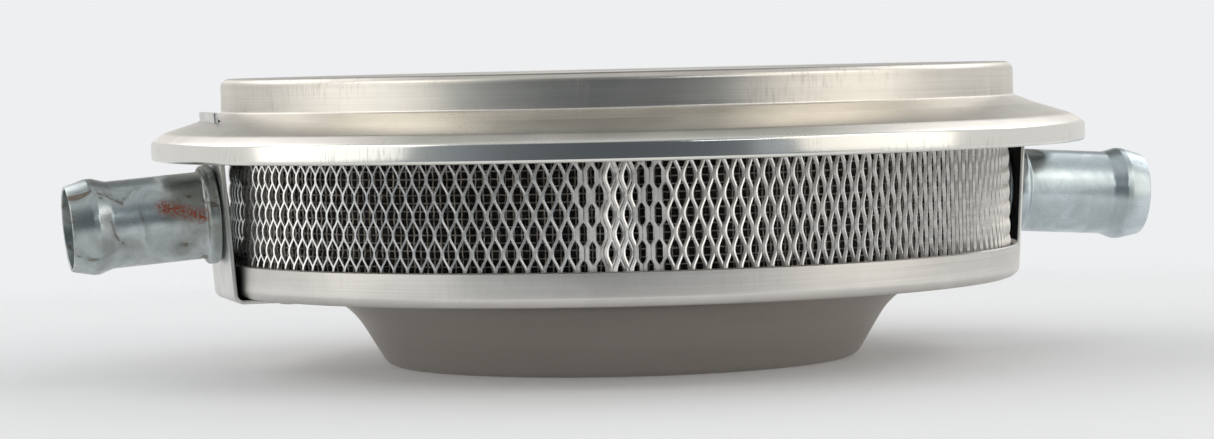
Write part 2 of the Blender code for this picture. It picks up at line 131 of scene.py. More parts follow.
def add_node(
    tree: bpy.types.NodeTree, kind: str, *values: object, out: str = "", **named: object
) -> bpy.types.NodeSocket | None:
    """Add one node with its settings, values and links, and hand back one of its outputs.

    Args:
        tree: The node tree that gets the node.
        kind: The node's type without its "ShaderNode" prefix, then a full stop and its operation
            or type of data where it has one.
        *values: A number, vector, hex colour or socket for each input that shows, in order.
        out: Name of the wanted output, or nothing for the first that shows.
        **named: Inputs by name, and the node's other settings.

    Returns:
        The output, or None from a node that has none.
    """
    kind, _, option = kind.partition(".")
    node = tree.nodes.new("ShaderNode" + kind)
    if option:
        setattr(node, "data_type" if kind == "Mix" else "operation", option)
    feeds = list(zip([socket for socket in node.inputs if socket.enabled], values, strict=False))
    for name, value in named.items():
        if name in node.inputs:
            feeds.append((node.inputs[name], value))
        else:
            setattr(node, name, value)
    for socket, value in feeds:
        if isinstance(value, bpy.types.NodeSocket):
            tree.links.new(value, socket)
        else:
            socket.default_value = linear(value) if isinstance(value, str) else value
    if out:
        return node.outputs[out]
    return next((socket for socket in node.outputs if socket.enabled), None)


@dataclass
class Weave:
    """A material in the making: its node tree and the shared places that its patterns use."""

    name: str
    material: bpy.types.Material = field(init=False)
    tree: bpy.types.NodeTree = field(init=False)
    place: bpy.types.NodeSocket = field(init=False)

    def __post_init__(self) -> None:
        """Make the empty material and its place in the piece's own frame."""
        self.material = bpy.data.materials.new(self.name)
        self.material.use_nodes = True
        self.tree = self.material.node_tree
        self.tree.nodes.clear()
        self.place = self.add("TexCoord", out="Object")

    def add(self, kind: str, *values: object, **named: object) -> bpy.types.NodeSocket | None:
        """Add one node to the material, as add_node does."""
        return add_node(self.tree, kind, *values, **named)

    def stretch(self, *sizes_mm: float) -> bpy.types.NodeSocket:
        """Count the piece's own frame in cells, for patterns to be drawn in.

        Args:
            *sizes_mm: A cell's size along X, Y and Z, or one size for all three.

        Returns:
            The coordinates in cells.
        """
        sizes = sizes_mm * 3 if len(sizes_mm) == 1 else sizes_mm
        return self.add("VectorMath.MULTIPLY", self.place, [1 / (size * MM) for size in sizes])

    def rings(self, line_mm: float, run_mm: float) -> bpy.types.NodeSocket:
        """Coordinates that follow tool lines round the Z axis.

        Args:
            line_mm: Spacing of the lines across the section.
            run_mm: How far a line goes before it changes.

        Returns:
            A vector whose noise is drawn out round the axis.
        """
        flat = self.add("VectorMath.MULTIPLY", self.place, (1, 1, 0))
        radius = self.add("VectorMath.LENGTH", flat)
        bearing = self.add("VectorMath.NORMALIZE", flat)
        turn = self.add("VectorMath.SCALE", bearing, TYPICAL_R_MM / run_mm)
        parts = self.add("SeparateXYZ", turn).node.outputs
        height = self.add("SeparateXYZ", self.place, out="Z")
        # the share of the radius keeps lines apart on walls, slopes and flat faces alike
        across = self.add("Math.MULTIPLY_ADD", radius, 0.73, height)
        across = self.add("Math.DIVIDE", across, line_mm * MM)
        return self.add("CombineXYZ", parts["X"], parts["Y"], across)

    def nicks(self, spacing_mm: float, size_mm: float, kept: float) -> bpy.types.NodeSocket:
        """Small scattered marks, 1 on a mark and 0 off it.

        Args:
            spacing_mm: Average distance between the places where a mark may fall.
            size_mm: A mark's radius.
            kept: Share of those places that have a mark.

        Returns:
            The marks' mask.
        """
        # bent cells, so that no mark is a clean disc
        spots = self.stretch(spacing_mm)
        waver = self.add("TexNoise", self.stretch(NICK_WAVER_MM), 1.0, out="Color")
        bent = self.add("VectorMath.ADD", spots, waver)
        cells = self.add("TexVoronoi", bent, 1.0).node.outputs
        reach = size_mm / spacing_mm
        near = self.add("MapRange", cells["Distance"], reach * 0.5, reach, 1.0, 0.0)
        pick = self.add("SeparateColor", cells["Color"])
        return self.add("Math.MULTIPLY", near, self.add("Math.LESS_THAN", pick, kept))

    def close(
        self, colour: object, metal: object, rough: object, normal: object, **more: object
    ) -> bpy.types.Material:
        """Finish the material with its surface shader.

        Args:
            colour: Base colour.
            metal: Metallic share.
            rough: Roughness.
            normal: The normal that the bumps give.
            **more: Further inputs of the Principled shader, by name.

        Returns:
            The finished material.
        """
        shader = self.add("BsdfPrincipled", colour, metal, rough, Normal=normal, **more)
        self.add("OutputMaterial", shader)
        return self.material


# ---------------------------------------------------------------------------------------------
# Finishes
# ---------------------------------------------------------------------------------------------


@dataclass(frozen=True)
class SpunAluminium:
    """Aluminium sheet spun over a chuck and satin brushed while it turned.

    The fine rings stretch every reflection up and down, and handling leaves scuffs and nicks. Below
    a height the sheet can have a second colour and shine, as a polished skirt has, or a duller neck
    whose darker colour is painted shade.
    Real brush lines are some 0.05 mm apart, too fine to show, so they are drawn at line_mm.
    """

    name: str
    bright: str
    dull: str
    roughness: float
    anisotropy: float = 0.55
    line_mm: float = 0.45
    line_run_mm: float = 55.0
    line_depth_mm: float = 0.006
    band_mm: float = 3.2
    band_run_mm: float = 160.0
    mottle_mm: float = 22.0
    wave_mm: float = 34.0
    wave_depth_mm: float = 0.05
    scuff_mm: float = 0.7
    scuff_run_mm: float = 7.0
    scuff_patch_mm: tuple[float, float, float] = (31.0, 31.0, 9.0)
    scuff_share: float = 0.5
    nick_spacing_mm: float = 16.0
    nick_mm: float = 0.55
    nick_share: float = 0.35
    mark: str = "#4a443e"
    low_from_mm: float = 0.0
    low_to_mm: float = 0.0
    low_colour: str = "#ecebe6"
    low_roughness: float = 0.1

    def material(self) -> bpy.types.Material:
        """Build the spun sheet's material."""
        weave = Weave(self.name)
        lines = weave.add("TexNoise", weave.rings(self.line_mm, self.line_run_mm), 1.0, 4.0, 0.65)
        bands = weave.add("TexNoise", weave.rings(self.band_mm, self.band_run_mm), 1.0, 2.0, 0.55)
        mottle = weave.add("TexNoise", weave.stretch(self.mottle_mm), 1.0, 4.0, 0.6, Distortion=0.4)
        streaks = weave.stretch(self.scuff_mm, self.scuff_mm, self.scuff_run_mm)
        scuffs = weave.add("TexNoise", streaks, 1.0, 3.0, 0.55)
        scuffs = weave.add("MapRange", scuffs, 0.52, 0.72, 0.0, 1.0)
        where = weave.add("TexNoise", weave.stretch(*self.scuff_patch_mm), 1.0, 2.0, 0.55)
        where = weave.add("MapRange", where, 0.45, 0.62, 0.0, self.scuff_share)
        scuffs = weave.add("Math.MULTIPLY", scuffs, where)
        nicks = weave.nicks(self.nick_spacing_mm, self.nick_mm, self.nick_share)

        tone = weave.add("Math.MULTIPLY_ADD", lines, 0.45, weave.add("Math.MULTIPLY", bands, 0.35))
        tone = weave.add("Math.MULTIPLY_ADD", mottle, 0.45, tone)
        tone = weave.add("MapRange", tone, 0.42, 0.82, 0.0, 1.0)
        colour = weave.add("Mix.RGBA", tone, self.dull, self.bright)
        rough = weave.add("Math.MULTIPLY_ADD", lines, 0.1, self.roughness - 0.05)
        rough = weave.add("Math.MULTIPLY_ADD", mottle, 0.08, rough)
        # below a height the colour turns: on the lid a polished skirt, on the pan a neck whose darker
        # brown-grey is painted shade
        if self.low_to_mm > self.low_from_mm:
            height = weave.add("SeparateXYZ", weave.place, out="Z")
            ends = (self.low_from_mm * MM, self.low_to_mm * MM)
            below = weave.add("MapRange", height, *ends, 1.0, 0.0)
            tint = weave.add("Math.MULTIPLY", below, 0.8)
            colour = weave.add("Mix.RGBA", tint, colour, self.low_colour)
            shine = weave.add("Math.MULTIPLY_ADD", lines, 0.05, self.low_roughness)
            span = weave.add("Math.SUBTRACT", shine, rough)
            rough = weave.add("Math.MULTIPLY_ADD", span, below, rough)
        rough = weave.add("Math.MULTIPLY_ADD", scuffs, 0.12, rough)
        colour = weave.add("Mix.RGBA", weave.add("Math.MULTIPLY", scuffs, 0.28), colour, self.mark)
        colour = weave.add("Mix.RGBA", weave.add("Math.MULTIPLY", nicks, 0.8), colour, self.mark)

        wave = weave.add("TexNoise", weave.stretch(self.wave_mm), 1.0, 1.0, 0.55)
        normal = weave.add("Bump", Height=wave, Distance=self.wave_depth_mm * MM)
        normal = weave.add("Bump", Height=lines, Distance=self.line_depth_mm * MM, Normal=normal)
        hollows = weave.add("Math.SUBTRACT", 1.0, nicks)
        normal = weave.add("Bump", Height=hollows, Distance=0.05 * MM, Normal=normal)
        tangent = weave.add("Tangent", direction_type="RADIAL", axis="Z")
        return weave.close(
            colour, 1.0, rough, normal, Anisotropic=self.anisotropy, Tangent=tangent
        )


@dataclass(frozen=True)
class MillAluminium:
    """Aluminium strip or mesh as it leaves the rolling mill: a soft grey with a faint grain.

    The mill's real grain is a few hundredths of a millimetre and is drawn at grain_mm to show. A
    mesh also has bright edges where it was sheared.
    """

    name: str
    bright: str
    dull: str
    roughness: float
    grain_mm: tuple[float, float, float] = (0.5, 0.5, 6.0)
    mottle_mm: float = 9.0
    depth_mm: float = 0.006
    nick_spacing_mm: float = 13.0
    nick_mm: float = 0.4
    nick_share: float = 0.3
    mark: str = "#55504a"
    metallic: float = 1.0
    # colour of the painted shade on a strap's inner face, or None for none
    painted_inner_shade: str | None = None
    sheared: str | None = None

    def material(self) -> bpy.types.Material:
        """Build the rolled metal's material."""
        weave = Weave(self.name)
        grain = weave.add("TexNoise", weave.stretch(*self.grain_mm), 1.0, 4.0, 0.6)
        mottle = weave.add("TexNoise", weave.stretch(self.mottle_mm), 1.0, 4.0, 0.6, Distortion=0.3)
        nicks = weave.nicks(self.nick_spacing_mm, self.nick_mm, self.nick_share)
        tone = weave.add("Math.MULTIPLY_ADD", grain, 0.5, weave.add("Math.MULTIPLY", mottle, 0.5))
        pale = weave.add("MapRange", tone, 0.38, 0.62, 0.0, 1.0)
        colour = weave.add("Mix.RGBA", pale, self.dull, self.bright)
        colour = weave.add("Mix.RGBA", weave.add("Math.MULTIPLY", nicks, 0.7), colour, self.mark)
        rough = weave.add("Math.MULTIPLY_ADD", tone, 0.16, self.roughness - 0.08)
        metal: object = self.metallic
        if self.painted_inner_shade is not None:
            # painted shade: the strap's inner face, which points to -X in its own frame, is painted near
            # black, rougher and less metallic, for the shade in the gap between strap and pan
            inward = weave.add("SeparateXYZ", weave.add("TexCoord", out="Normal"), out="X")
            painted_inner_shade = weave.add("MapRange", inward, -0.8, -0.4, 1.0, 0.0)
            colour = weave.add("Mix.RGBA", painted_inner_shade, colour, self.painted_inner_shade)
            rough = weave.add("Math.MULTIPLY_ADD", painted_inner_shade, 0.3, rough)
            metal = weave.add("Math.MULTIPLY_ADD", painted_inner_shade, -self.metallic, self.metallic)
        if self.sheared is not None:
            cut = weave.add("Attribute", attribute_name=SHEARED, out="Fac")
            colour = weave.add("Mix.RGBA", cut, colour, self.sheared)
            rough = weave.add("Math.MULTIPLY_ADD", cut, -0.08, rough)
            metal = weave.add("Math.MULTIPLY_ADD", cut, 0.9 - self.metallic, self.metallic)
        normal = weave.add("Bump", Height=grain, Distance=self.depth_mm * MM)
        hollows = weave.add("Math.SUBTRACT", 1.0, nicks)
        normal = weave.add("Bump", Height=hollows, Distance=0.04 * MM, Normal=normal)
        return weave.close(colour, metal, rough, normal)


@dataclass(frozen=True)
class ZincPlate:
    """Steel tube with a bright blue-passivated zinc plate.

    Where the plate has aged there are milky and olive clouds, tan stains, dark specks and, on one
    tube, a streak of rust.
    """

    name: str
    bright: str = "#ccd5d8"
    cloudy: str = "#aab4b6"
    olive: str = "#8d9188"
    stain: str = "#6f6252"
    rust: str = "#9a4a2c"
    roughness: float = 0.34
    cloud_mm: float = 9.0
    stain_mm: float = 9.0
    stain_level: float = 0.6
    speck_spacing_mm: float = 3.4
    speck_mm: float = 0.28
    orange_peel_mm: float = 1.1
    seed_mm: float = 0.0
    rust_from_mm: tuple[float, float, float] | None = None
    rust_to_mm: tuple[float, float, float] | None = None
    rust_half_width_mm: float = 1.5

    def _rust_mask(self, weave: Weave) -> bpy.types.NodeSocket:
        """Draw a speckled streak of rust between its two ends.

        Args:
            weave: The material in the making, with its place unshifted.

        Returns:
            The mask, 1 on rust and 0 off it.
        """
        start = Vector(self.rust_from_mm) * MM
        end = Vector(self.rust_to_mm) * MM
        run = end - start
        away = weave.add("VectorMath.SUBTRACT", weave.place, start)
        along = weave.add("VectorMath.DOT_PRODUCT", away, run / run.length_squared)
        along = weave.add("MapRange", along, 0.0, 1.0, 0.0, 1.0)
        nearest = weave.add("VectorMath.SCALE", run, along)
        gap = weave.add("VectorMath.DISTANCE", away, nearest)
        half = self.rust_half_width_mm * MM
        near = weave.add("MapRange", gap, 0.3 * half, 1.3 * half, 1.0, 0.0)
        grains = weave.add("TexNoise", weave.stretch(0.8), 1.0, 3.0, 0.7)
        return weave.add("Math.MULTIPLY", near, weave.add("MapRange", grains, 0.42, 0.52, 0.0, 1.0))

    def material(self) -> bpy.types.Material:
        """Build the plated steel's material."""
        weave = Weave(self.name)
        shift = (self.seed_mm * MM,) * 3
        weave.place = weave.add("VectorMath.ADD", weave.place, shift)
        clouds = weave.add("TexNoise", weave.stretch(self.cloud_mm), 1.0, 5.0, 0.62, Distortion=0.8)
        broad = weave.add("TexNoise", weave.stretch(self.cloud_mm * 2.4), 1.0, 3.0, 0.5, Distortion=0.6)
        stains = weave.add("TexNoise", weave.stretch(self.stain_mm), 1.0, 6.0, 0.68, Distortion=1.2)
        peel = weave.add("TexNoise", weave.stretch(self.orange_peel_mm), 1.0, 3.0, 0.55)
        specks = weave.nicks(self.speck_spacing_mm, self.speck_mm, 0.3)

        milk = weave.add("MapRange", clouds, 0.35, 0.7, 0.0, 1.0)
        colour = weave.add("Mix.RGBA", milk, self.bright, self.cloudy)
        tarnish = weave.add("MapRange", broad, 0.5, 0.68, 0.0, 0.75)
        colour = weave.add("Mix.RGBA", tarnish, colour, self.olive)
        brown = weave.add("MapRange", stains, self.stain_level, self.stain_level + 0.09, 0.0, 0.85)
        colour = weave.add("Mix.RGBA", brown, colour, self.stain)
        colour = weave.add("Mix.RGBA", weave.add("Math.MULTIPLY", specks, 0.85), colour, "#33302c")
        rough = weave.add("Math.MULTIPLY_ADD", milk, 0.1, self.roughness)
        rough = weave.add("Math.MULTIPLY_ADD", brown, 0.25, rough)
        metal: object = weave.add("Math.MULTIPLY_ADD", brown, -0.35, 1.0)
        normal = weave.add("Bump", Height=peel, Distance=0.012 * MM)
        if self.rust_from_mm is not None:
            weave.place = weave.add("VectorMath.SUBTRACT", weave.place, shift)
            rust = self._rust_mask(weave)
            colour = weave.add("Mix.RGBA", rust, colour, self.rust)
            rough = weave.add("Math.MULTIPLY_ADD", rust, 0.4, rough)
            metal = weave.add("Math.MAXIMUM", weave.add("Math.MULTIPLY_ADD", rust, -0.95, metal), 0.0)
            normal = weave.add("Bump", Height=rust, Distance=0.05 * MM, Normal=normal)
        return weave.close(colour, metal, rough, normal)


@dataclass(frozen=True)
class DrawnWire:
    """Cloth of drawn aluminium wire, dull with dust, with a glint along each strand.

    The draw marks are finer than 0.1 mm and are drawn at 0.4 mm to show. On a plain sleeve that
    stands for the deeper layers, the openings of the weave are painted near black as shade.
    """

    name: str
    bright: str
    dull: str
    roughness: float
    pitch_mm: float = 1.2
    sleeve_r_mm: float = 116.0
    woven: bool = False

    def material(self) -> bpy.types.Material:
        """Build the wire's material, with a weave drawn on where the piece is a plain sleeve."""
        weave = Weave(self.name)
        dust = weave.add("TexNoise", weave.stretch(3.0), 1.0, 4.0, 0.55)
        clean = weave.add("MapRange", dust, 0.4, 0.62, 0.0, 1.0)
        colour = weave.add("Mix.RGBA", clean, self.dull, self.bright)
        grain = weave.add("TexNoise", weave.stretch(0.4), 1.0, 2.0, 0.55)
        normal = weave.add("Bump", Height=grain, Distance=0.01 * MM)
        if self.woven:
            # crossing wires round the sleeve, drawn a little coarser than the cloth's 0.8 mm mesh, with
            # the openings between them painted near black as shade
            parts = weave.add("SeparateXYZ", weave.place).node.outputs
            turn = weave.add("Math.ARCTAN2", parts["Y"], parts["X"])
            count = round(math.tau * self.sleeve_r_mm / self.pitch_mm)
            up = weave.add("Math.SINE", weave.add("Math.MULTIPLY", turn, float(count)))
            per_metre = math.tau / (self.pitch_mm * MM)
            across = weave.add("Math.SINE", weave.add("Math.MULTIPLY", parts["Z"], per_metre))
            wires = weave.add("Math.MAXIMUM", up, across)
            wires = weave.add("MapRange", wires, 0.1, 0.95, 0.0, 1.0)
            colour = weave.add("Mix.RGBA", wires, "#0b0a09", colour)
            normal = weave.add("Bump", Height=wires, Distance=0.2 * MM, Normal=normal)
        return weave.close(colour, 0.5, self.roughness, normal)


@dataclass(frozen=True)
class MouldedRubber:
    """Black nitrile rubber from a mould: matt, with a faint bloom and fine pores.

    Real pores are about 0.1 mm and are drawn at 0.5 mm to show.
    """

    name: str
    black: str = "#17171a"
    bloom: str = "#2b2b2d"
    roughness: float = 0.62

    def material(self) -> bpy.types.Material:
        """Build the rubber's material."""
        weave = Weave(self.name)
        bloom = weave.add("TexNoise", weave.stretch(8.0), 1.0, 4.0, 0.55)
        pores = weave.add("TexNoise", weave.stretch(0.5), 1.0, 3.0, 0.55)
        grey = weave.add("MapRange", bloom, 0.4, 0.65, 0.0, 1.0)
        colour = weave.add("Mix.RGBA", grey, self.black, self.bloom)
        rough = weave.add("Math.MULTIPLY_ADD", bloom, 0.15, self.roughness - 0.07)
        normal = weave.add("Bump", Height=pores, Distance=0.02 * MM)
        return weave.close(colour, 0.0, rough, normal, IOR=1.52)


# ---------------------------------------------------------------------------------------------
# Shapes
# ---------------------------------------------------------------------------------------------


def fold(corners: Sequence[Corner], step_degrees: float = 9.0) -> list[Vector]:
    """Trace an outline through corners, with an arc in each bend.

    Args:
        corners: Each corner's radius, height and bend radius.
        step_degrees: Turn between two points of an arc.

    Returns:
        The outline's points.
    """
    path: list[Vector] = []
    for index, (r, z, bend) in enumerate(corners):
        here = Vector((r, z))
        if bend == 0 or index in (0, len(corners) - 1):
            path.append(here)
            continue
        before = (Vector(corners[index - 1][:2]) - here).normalized()
        after = (Vector(corners[index + 1][:2]) - here).normalized()
        turn = math.pi - before.angle(after)
        start = here + before * bend * math.tan(turn / 2)
        centre = here + (before + after).normalized() * (bend / math.cos(turn / 2))
        side = 1 if before.x * after.y - before.y * after.x < 0 else -1
        steps = max(3, round(math.degrees(turn) / step_degrees))
        arm = start - centre
        for step in range(steps + 1):
            c, s = math.cos(side * turn * step / steps), math.sin(side * turn * step / steps)
            path.append(centre + Vector((arm.x * c - arm.y * s, arm.x * s + arm.y * c)))
    return path


def sheet(path: Sequence[Vector], thickness: float) -> list[Vector]:
    """Close an open path into a sheet's outline, thickened to the left of its run.

    Args:
        path: The points of one face.
        thickness: The sheet's thickness.

    Returns:
        The closed outline.
    """
    other = []
    for index, here in enumerate(path):
        normals = []
        for first, last in ((index - 1, index), (index, index + 1)):
            if first >= 0 and last < len(path):
                run = (path[last] - path[first]).normalized()
                normals.append(Vector((-run.y, run.x)))
        mitre = sum(normals, Vector((0, 0))).normalized()
        other.append(here + mitre * (thickness / mitre.dot(normals[0])))
    return [*path, *other[::-1]]


def lathe(outline: Sequence[Sequence[float]], steps: int) -> bmesh.types.BMesh:
    """Turn a closed outline of (radius, height) points round Z.

    Args:
        outline: The section's points, in order.
        steps: Number of faces round the axis.

    Returns:
        The turned mesh.
    """
    work = bmesh.new()
    rings: list[list[bmesh.types.BMVert]] = []
    for r, z in outline:
        if r < 1e-6:
            rings.append([work.verts.new((0, 0, z))] * steps)
            continue
        angles = (math.tau * step / steps for step in range(steps))
        rings.append([work.verts.new((r * math.cos(a), r * math.sin(a), z)) for a in angles])
    for index, ring in enumerate(rings):
        after = rings[(index + 1) % len(rings)]
        for step in range(steps):
            follow = (step + 1) % steps
            corners = [ring[step], ring[follow], after[follow], after[step]]
            unique = list(dict.fromkeys(corners))
            if len(unique) > 2:
                work.faces.new(unique)
    return work


def prism(outline: Sequence[Sequence[float]], low: float, high: float) -> bmesh.types.BMesh:
    """Extrude an (x, z) outline along Y from low to high."""
    work = bmesh.new()
    face = work.faces.new([work.verts.new((x, low, z)) for x, z in outline])
    grown = bmesh.ops.extrude_face_region(work, geom=[face])["geom"]
    moved = [item for item in grown if isinstance(item, bmesh.types.BMVert)]
    bmesh.ops.translate(work, vec=(0, high - low, 0), verts=moved)
    return work


def place_mesh(name: str, mesh: bpy.types.Mesh, frame: Matrix | None = None) -> bpy.types.Object:
    """Link a mesh as an object, smooth but for its sharp edges.

    Args:
        name: The object's name.
        mesh: A mesh in metres.
        frame: Where its own frame stands.

    Returns:
        The new object.
    """
    mesh.shade_smooth()
    mesh.set_sharp_from_angle(angle=SHARP_EDGE)
    piece = bpy.data.objects.new(name, mesh)
    bpy.context.scene.collection.objects.link(piece)
    if frame is not None:
        piece.matrix_world = frame
    return piece


def solid(name: str, work: bmesh.types.BMesh, frame: Matrix | None = None) -> bpy.types.Object:
    """Turn a mesh in millimetres into an object with its faces outward.

    Args:
        name: The object's name.
        work: The mesh, which is freed.
        frame: Where its own frame stands, in metres.

    Returns:
        The new object.
    """
    bmesh.ops.scale(work, vec=(MM, MM, MM), verts=work.verts)
    bmesh.ops.recalc_face_normals(work, faces=work.faces)
    if work.calc_volume(signed=True) < 0:
        bmesh.ops.reverse_faces(work, faces=work.faces)
    mesh = bpy.data.meshes.new(name)
    work.to_mesh(mesh)
    work.free()
    return place_mesh(name, mesh, frame)


def apply_modifiers(piece: bpy.types.Object) -> None:
    """Bake a piece's modifiers into its mesh and shade it afresh."""
    graph = bpy.context.evaluated_depsgraph_get()
    baked = bpy.data.meshes.new_from_object(piece.evaluated_get(graph))
    piece.modifiers.clear()
    piece.data = baked
    baked.shade_smooth()
    baked.set_sharp_from_angle(angle=SHARP_EDGE)


def cut_away(piece: bpy.types.Object, cutters: Sequence[bpy.types.Object]) -> None:
    """Cut shapes out of a piece, then remove the cutters.

    Args:
        piece: The piece to cut.
        cutters: Closed shapes, each removed from the scene afterwards.
    """
    for cutter in cutters:
        subtract = piece.modifiers.new("cut", "BOOLEAN")
        subtract.operation = "DIFFERENCE"
        subtract.solver = "EXACT"
        subtract.object = cutter
    bpy.context.view_layer.update()
    apply_modifiers(piece)
    for cutter in cutters:
        bpy.data.objects.remove(cutter)


def soften(piece: bpy.types.Object, width: float, segments: int = 2) -> None:
    """Round a piece's sharp edges by a width in millimetres."""
    bevel = piece.modifiers.new("soft edges", "BEVEL")
    bevel.width = width * MM
    bevel.segments = segments
    bevel.limit_method = "ANGLE"
    bevel.angle_limit = SHARP_EDGE
    bevel.harden_normals = False
    apply_modifiers(piece)


def dress(
    piece: bpy.types.Object, finish: bpy.types.Material, slot: Slot, body: Body, *nodes: str
) -> bpy.types.Object:
    """Give a piece its finish and its place in the frame, and report it.

    Args:
        piece: The piece, already in place.
        finish: Its material.
        slot: The record's slot for the piece; not used.
        body: The body it rides on.
        *nodes: The CAD nodes it stands for.

    Returns:
        The same piece.
    """
    piece.data.materials.clear()
    piece.data.materials.append(finish)
    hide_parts(*nodes)
    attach(piece, body.value)
    LOG.info("%s: %d faces, stands for %s", piece.name, len(piece.data.polygons), ", ".join(nodes))
    return piece


def dress_node(node: bpy.types.Object, finish: bpy.types.Material) -> None:
    """Put a better material on every slot of a CAD node that stays in view."""
    for index in range(len(node.data.materials)):
        node.data.materials[index] = finish
    LOG.info("%s: keeps its CAD shape", node.name)


# ---------------------------------------------------------------------------------------------
# Sub-assemblies
# ---------------------------------------------------------------------------------------------


@dataclass
class Housing:
    """Sizes that the lid, the pan, the element and the straps share, read from the CAD nodes."""

    lid_r: float
    lid_top: float
    lid_bottom: float
    pan_r: float
    pan_top: float
    mesh_r: float
    mesh_bottom: float
    mesh_top: float
    well_seat: float
    pan_floor: float = 23.6
    pan_sheet: float = 1.2
    lid_sheet: float = 1.0

    @classmethod
    def from_frame(cls) -> Housing:
        """Read the shared sizes off the CAD nodes' boxes."""
        lid = [c / MM for c in (*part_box("top_cover")[0], *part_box("top_cover")[1])]
        pan = [c / MM for c in (*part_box("base_pan")[0], *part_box("base_pan")[1])]
        band = [c / MM for c in (*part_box("outer_mesh_band")[0], *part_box("outer_mesh_band")[1])]
        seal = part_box("well_seal_washer")[0].z / MM
        return cls(
            lid_r=lid[3], lid_top=lid[5], lid_bottom=lid[2], pan_r=pan[3], pan_top=pan[5],
            mesh_r=band[3], mesh_bottom=band[2], mesh_top=band[5], well_seat=seal - 0.3,
        )


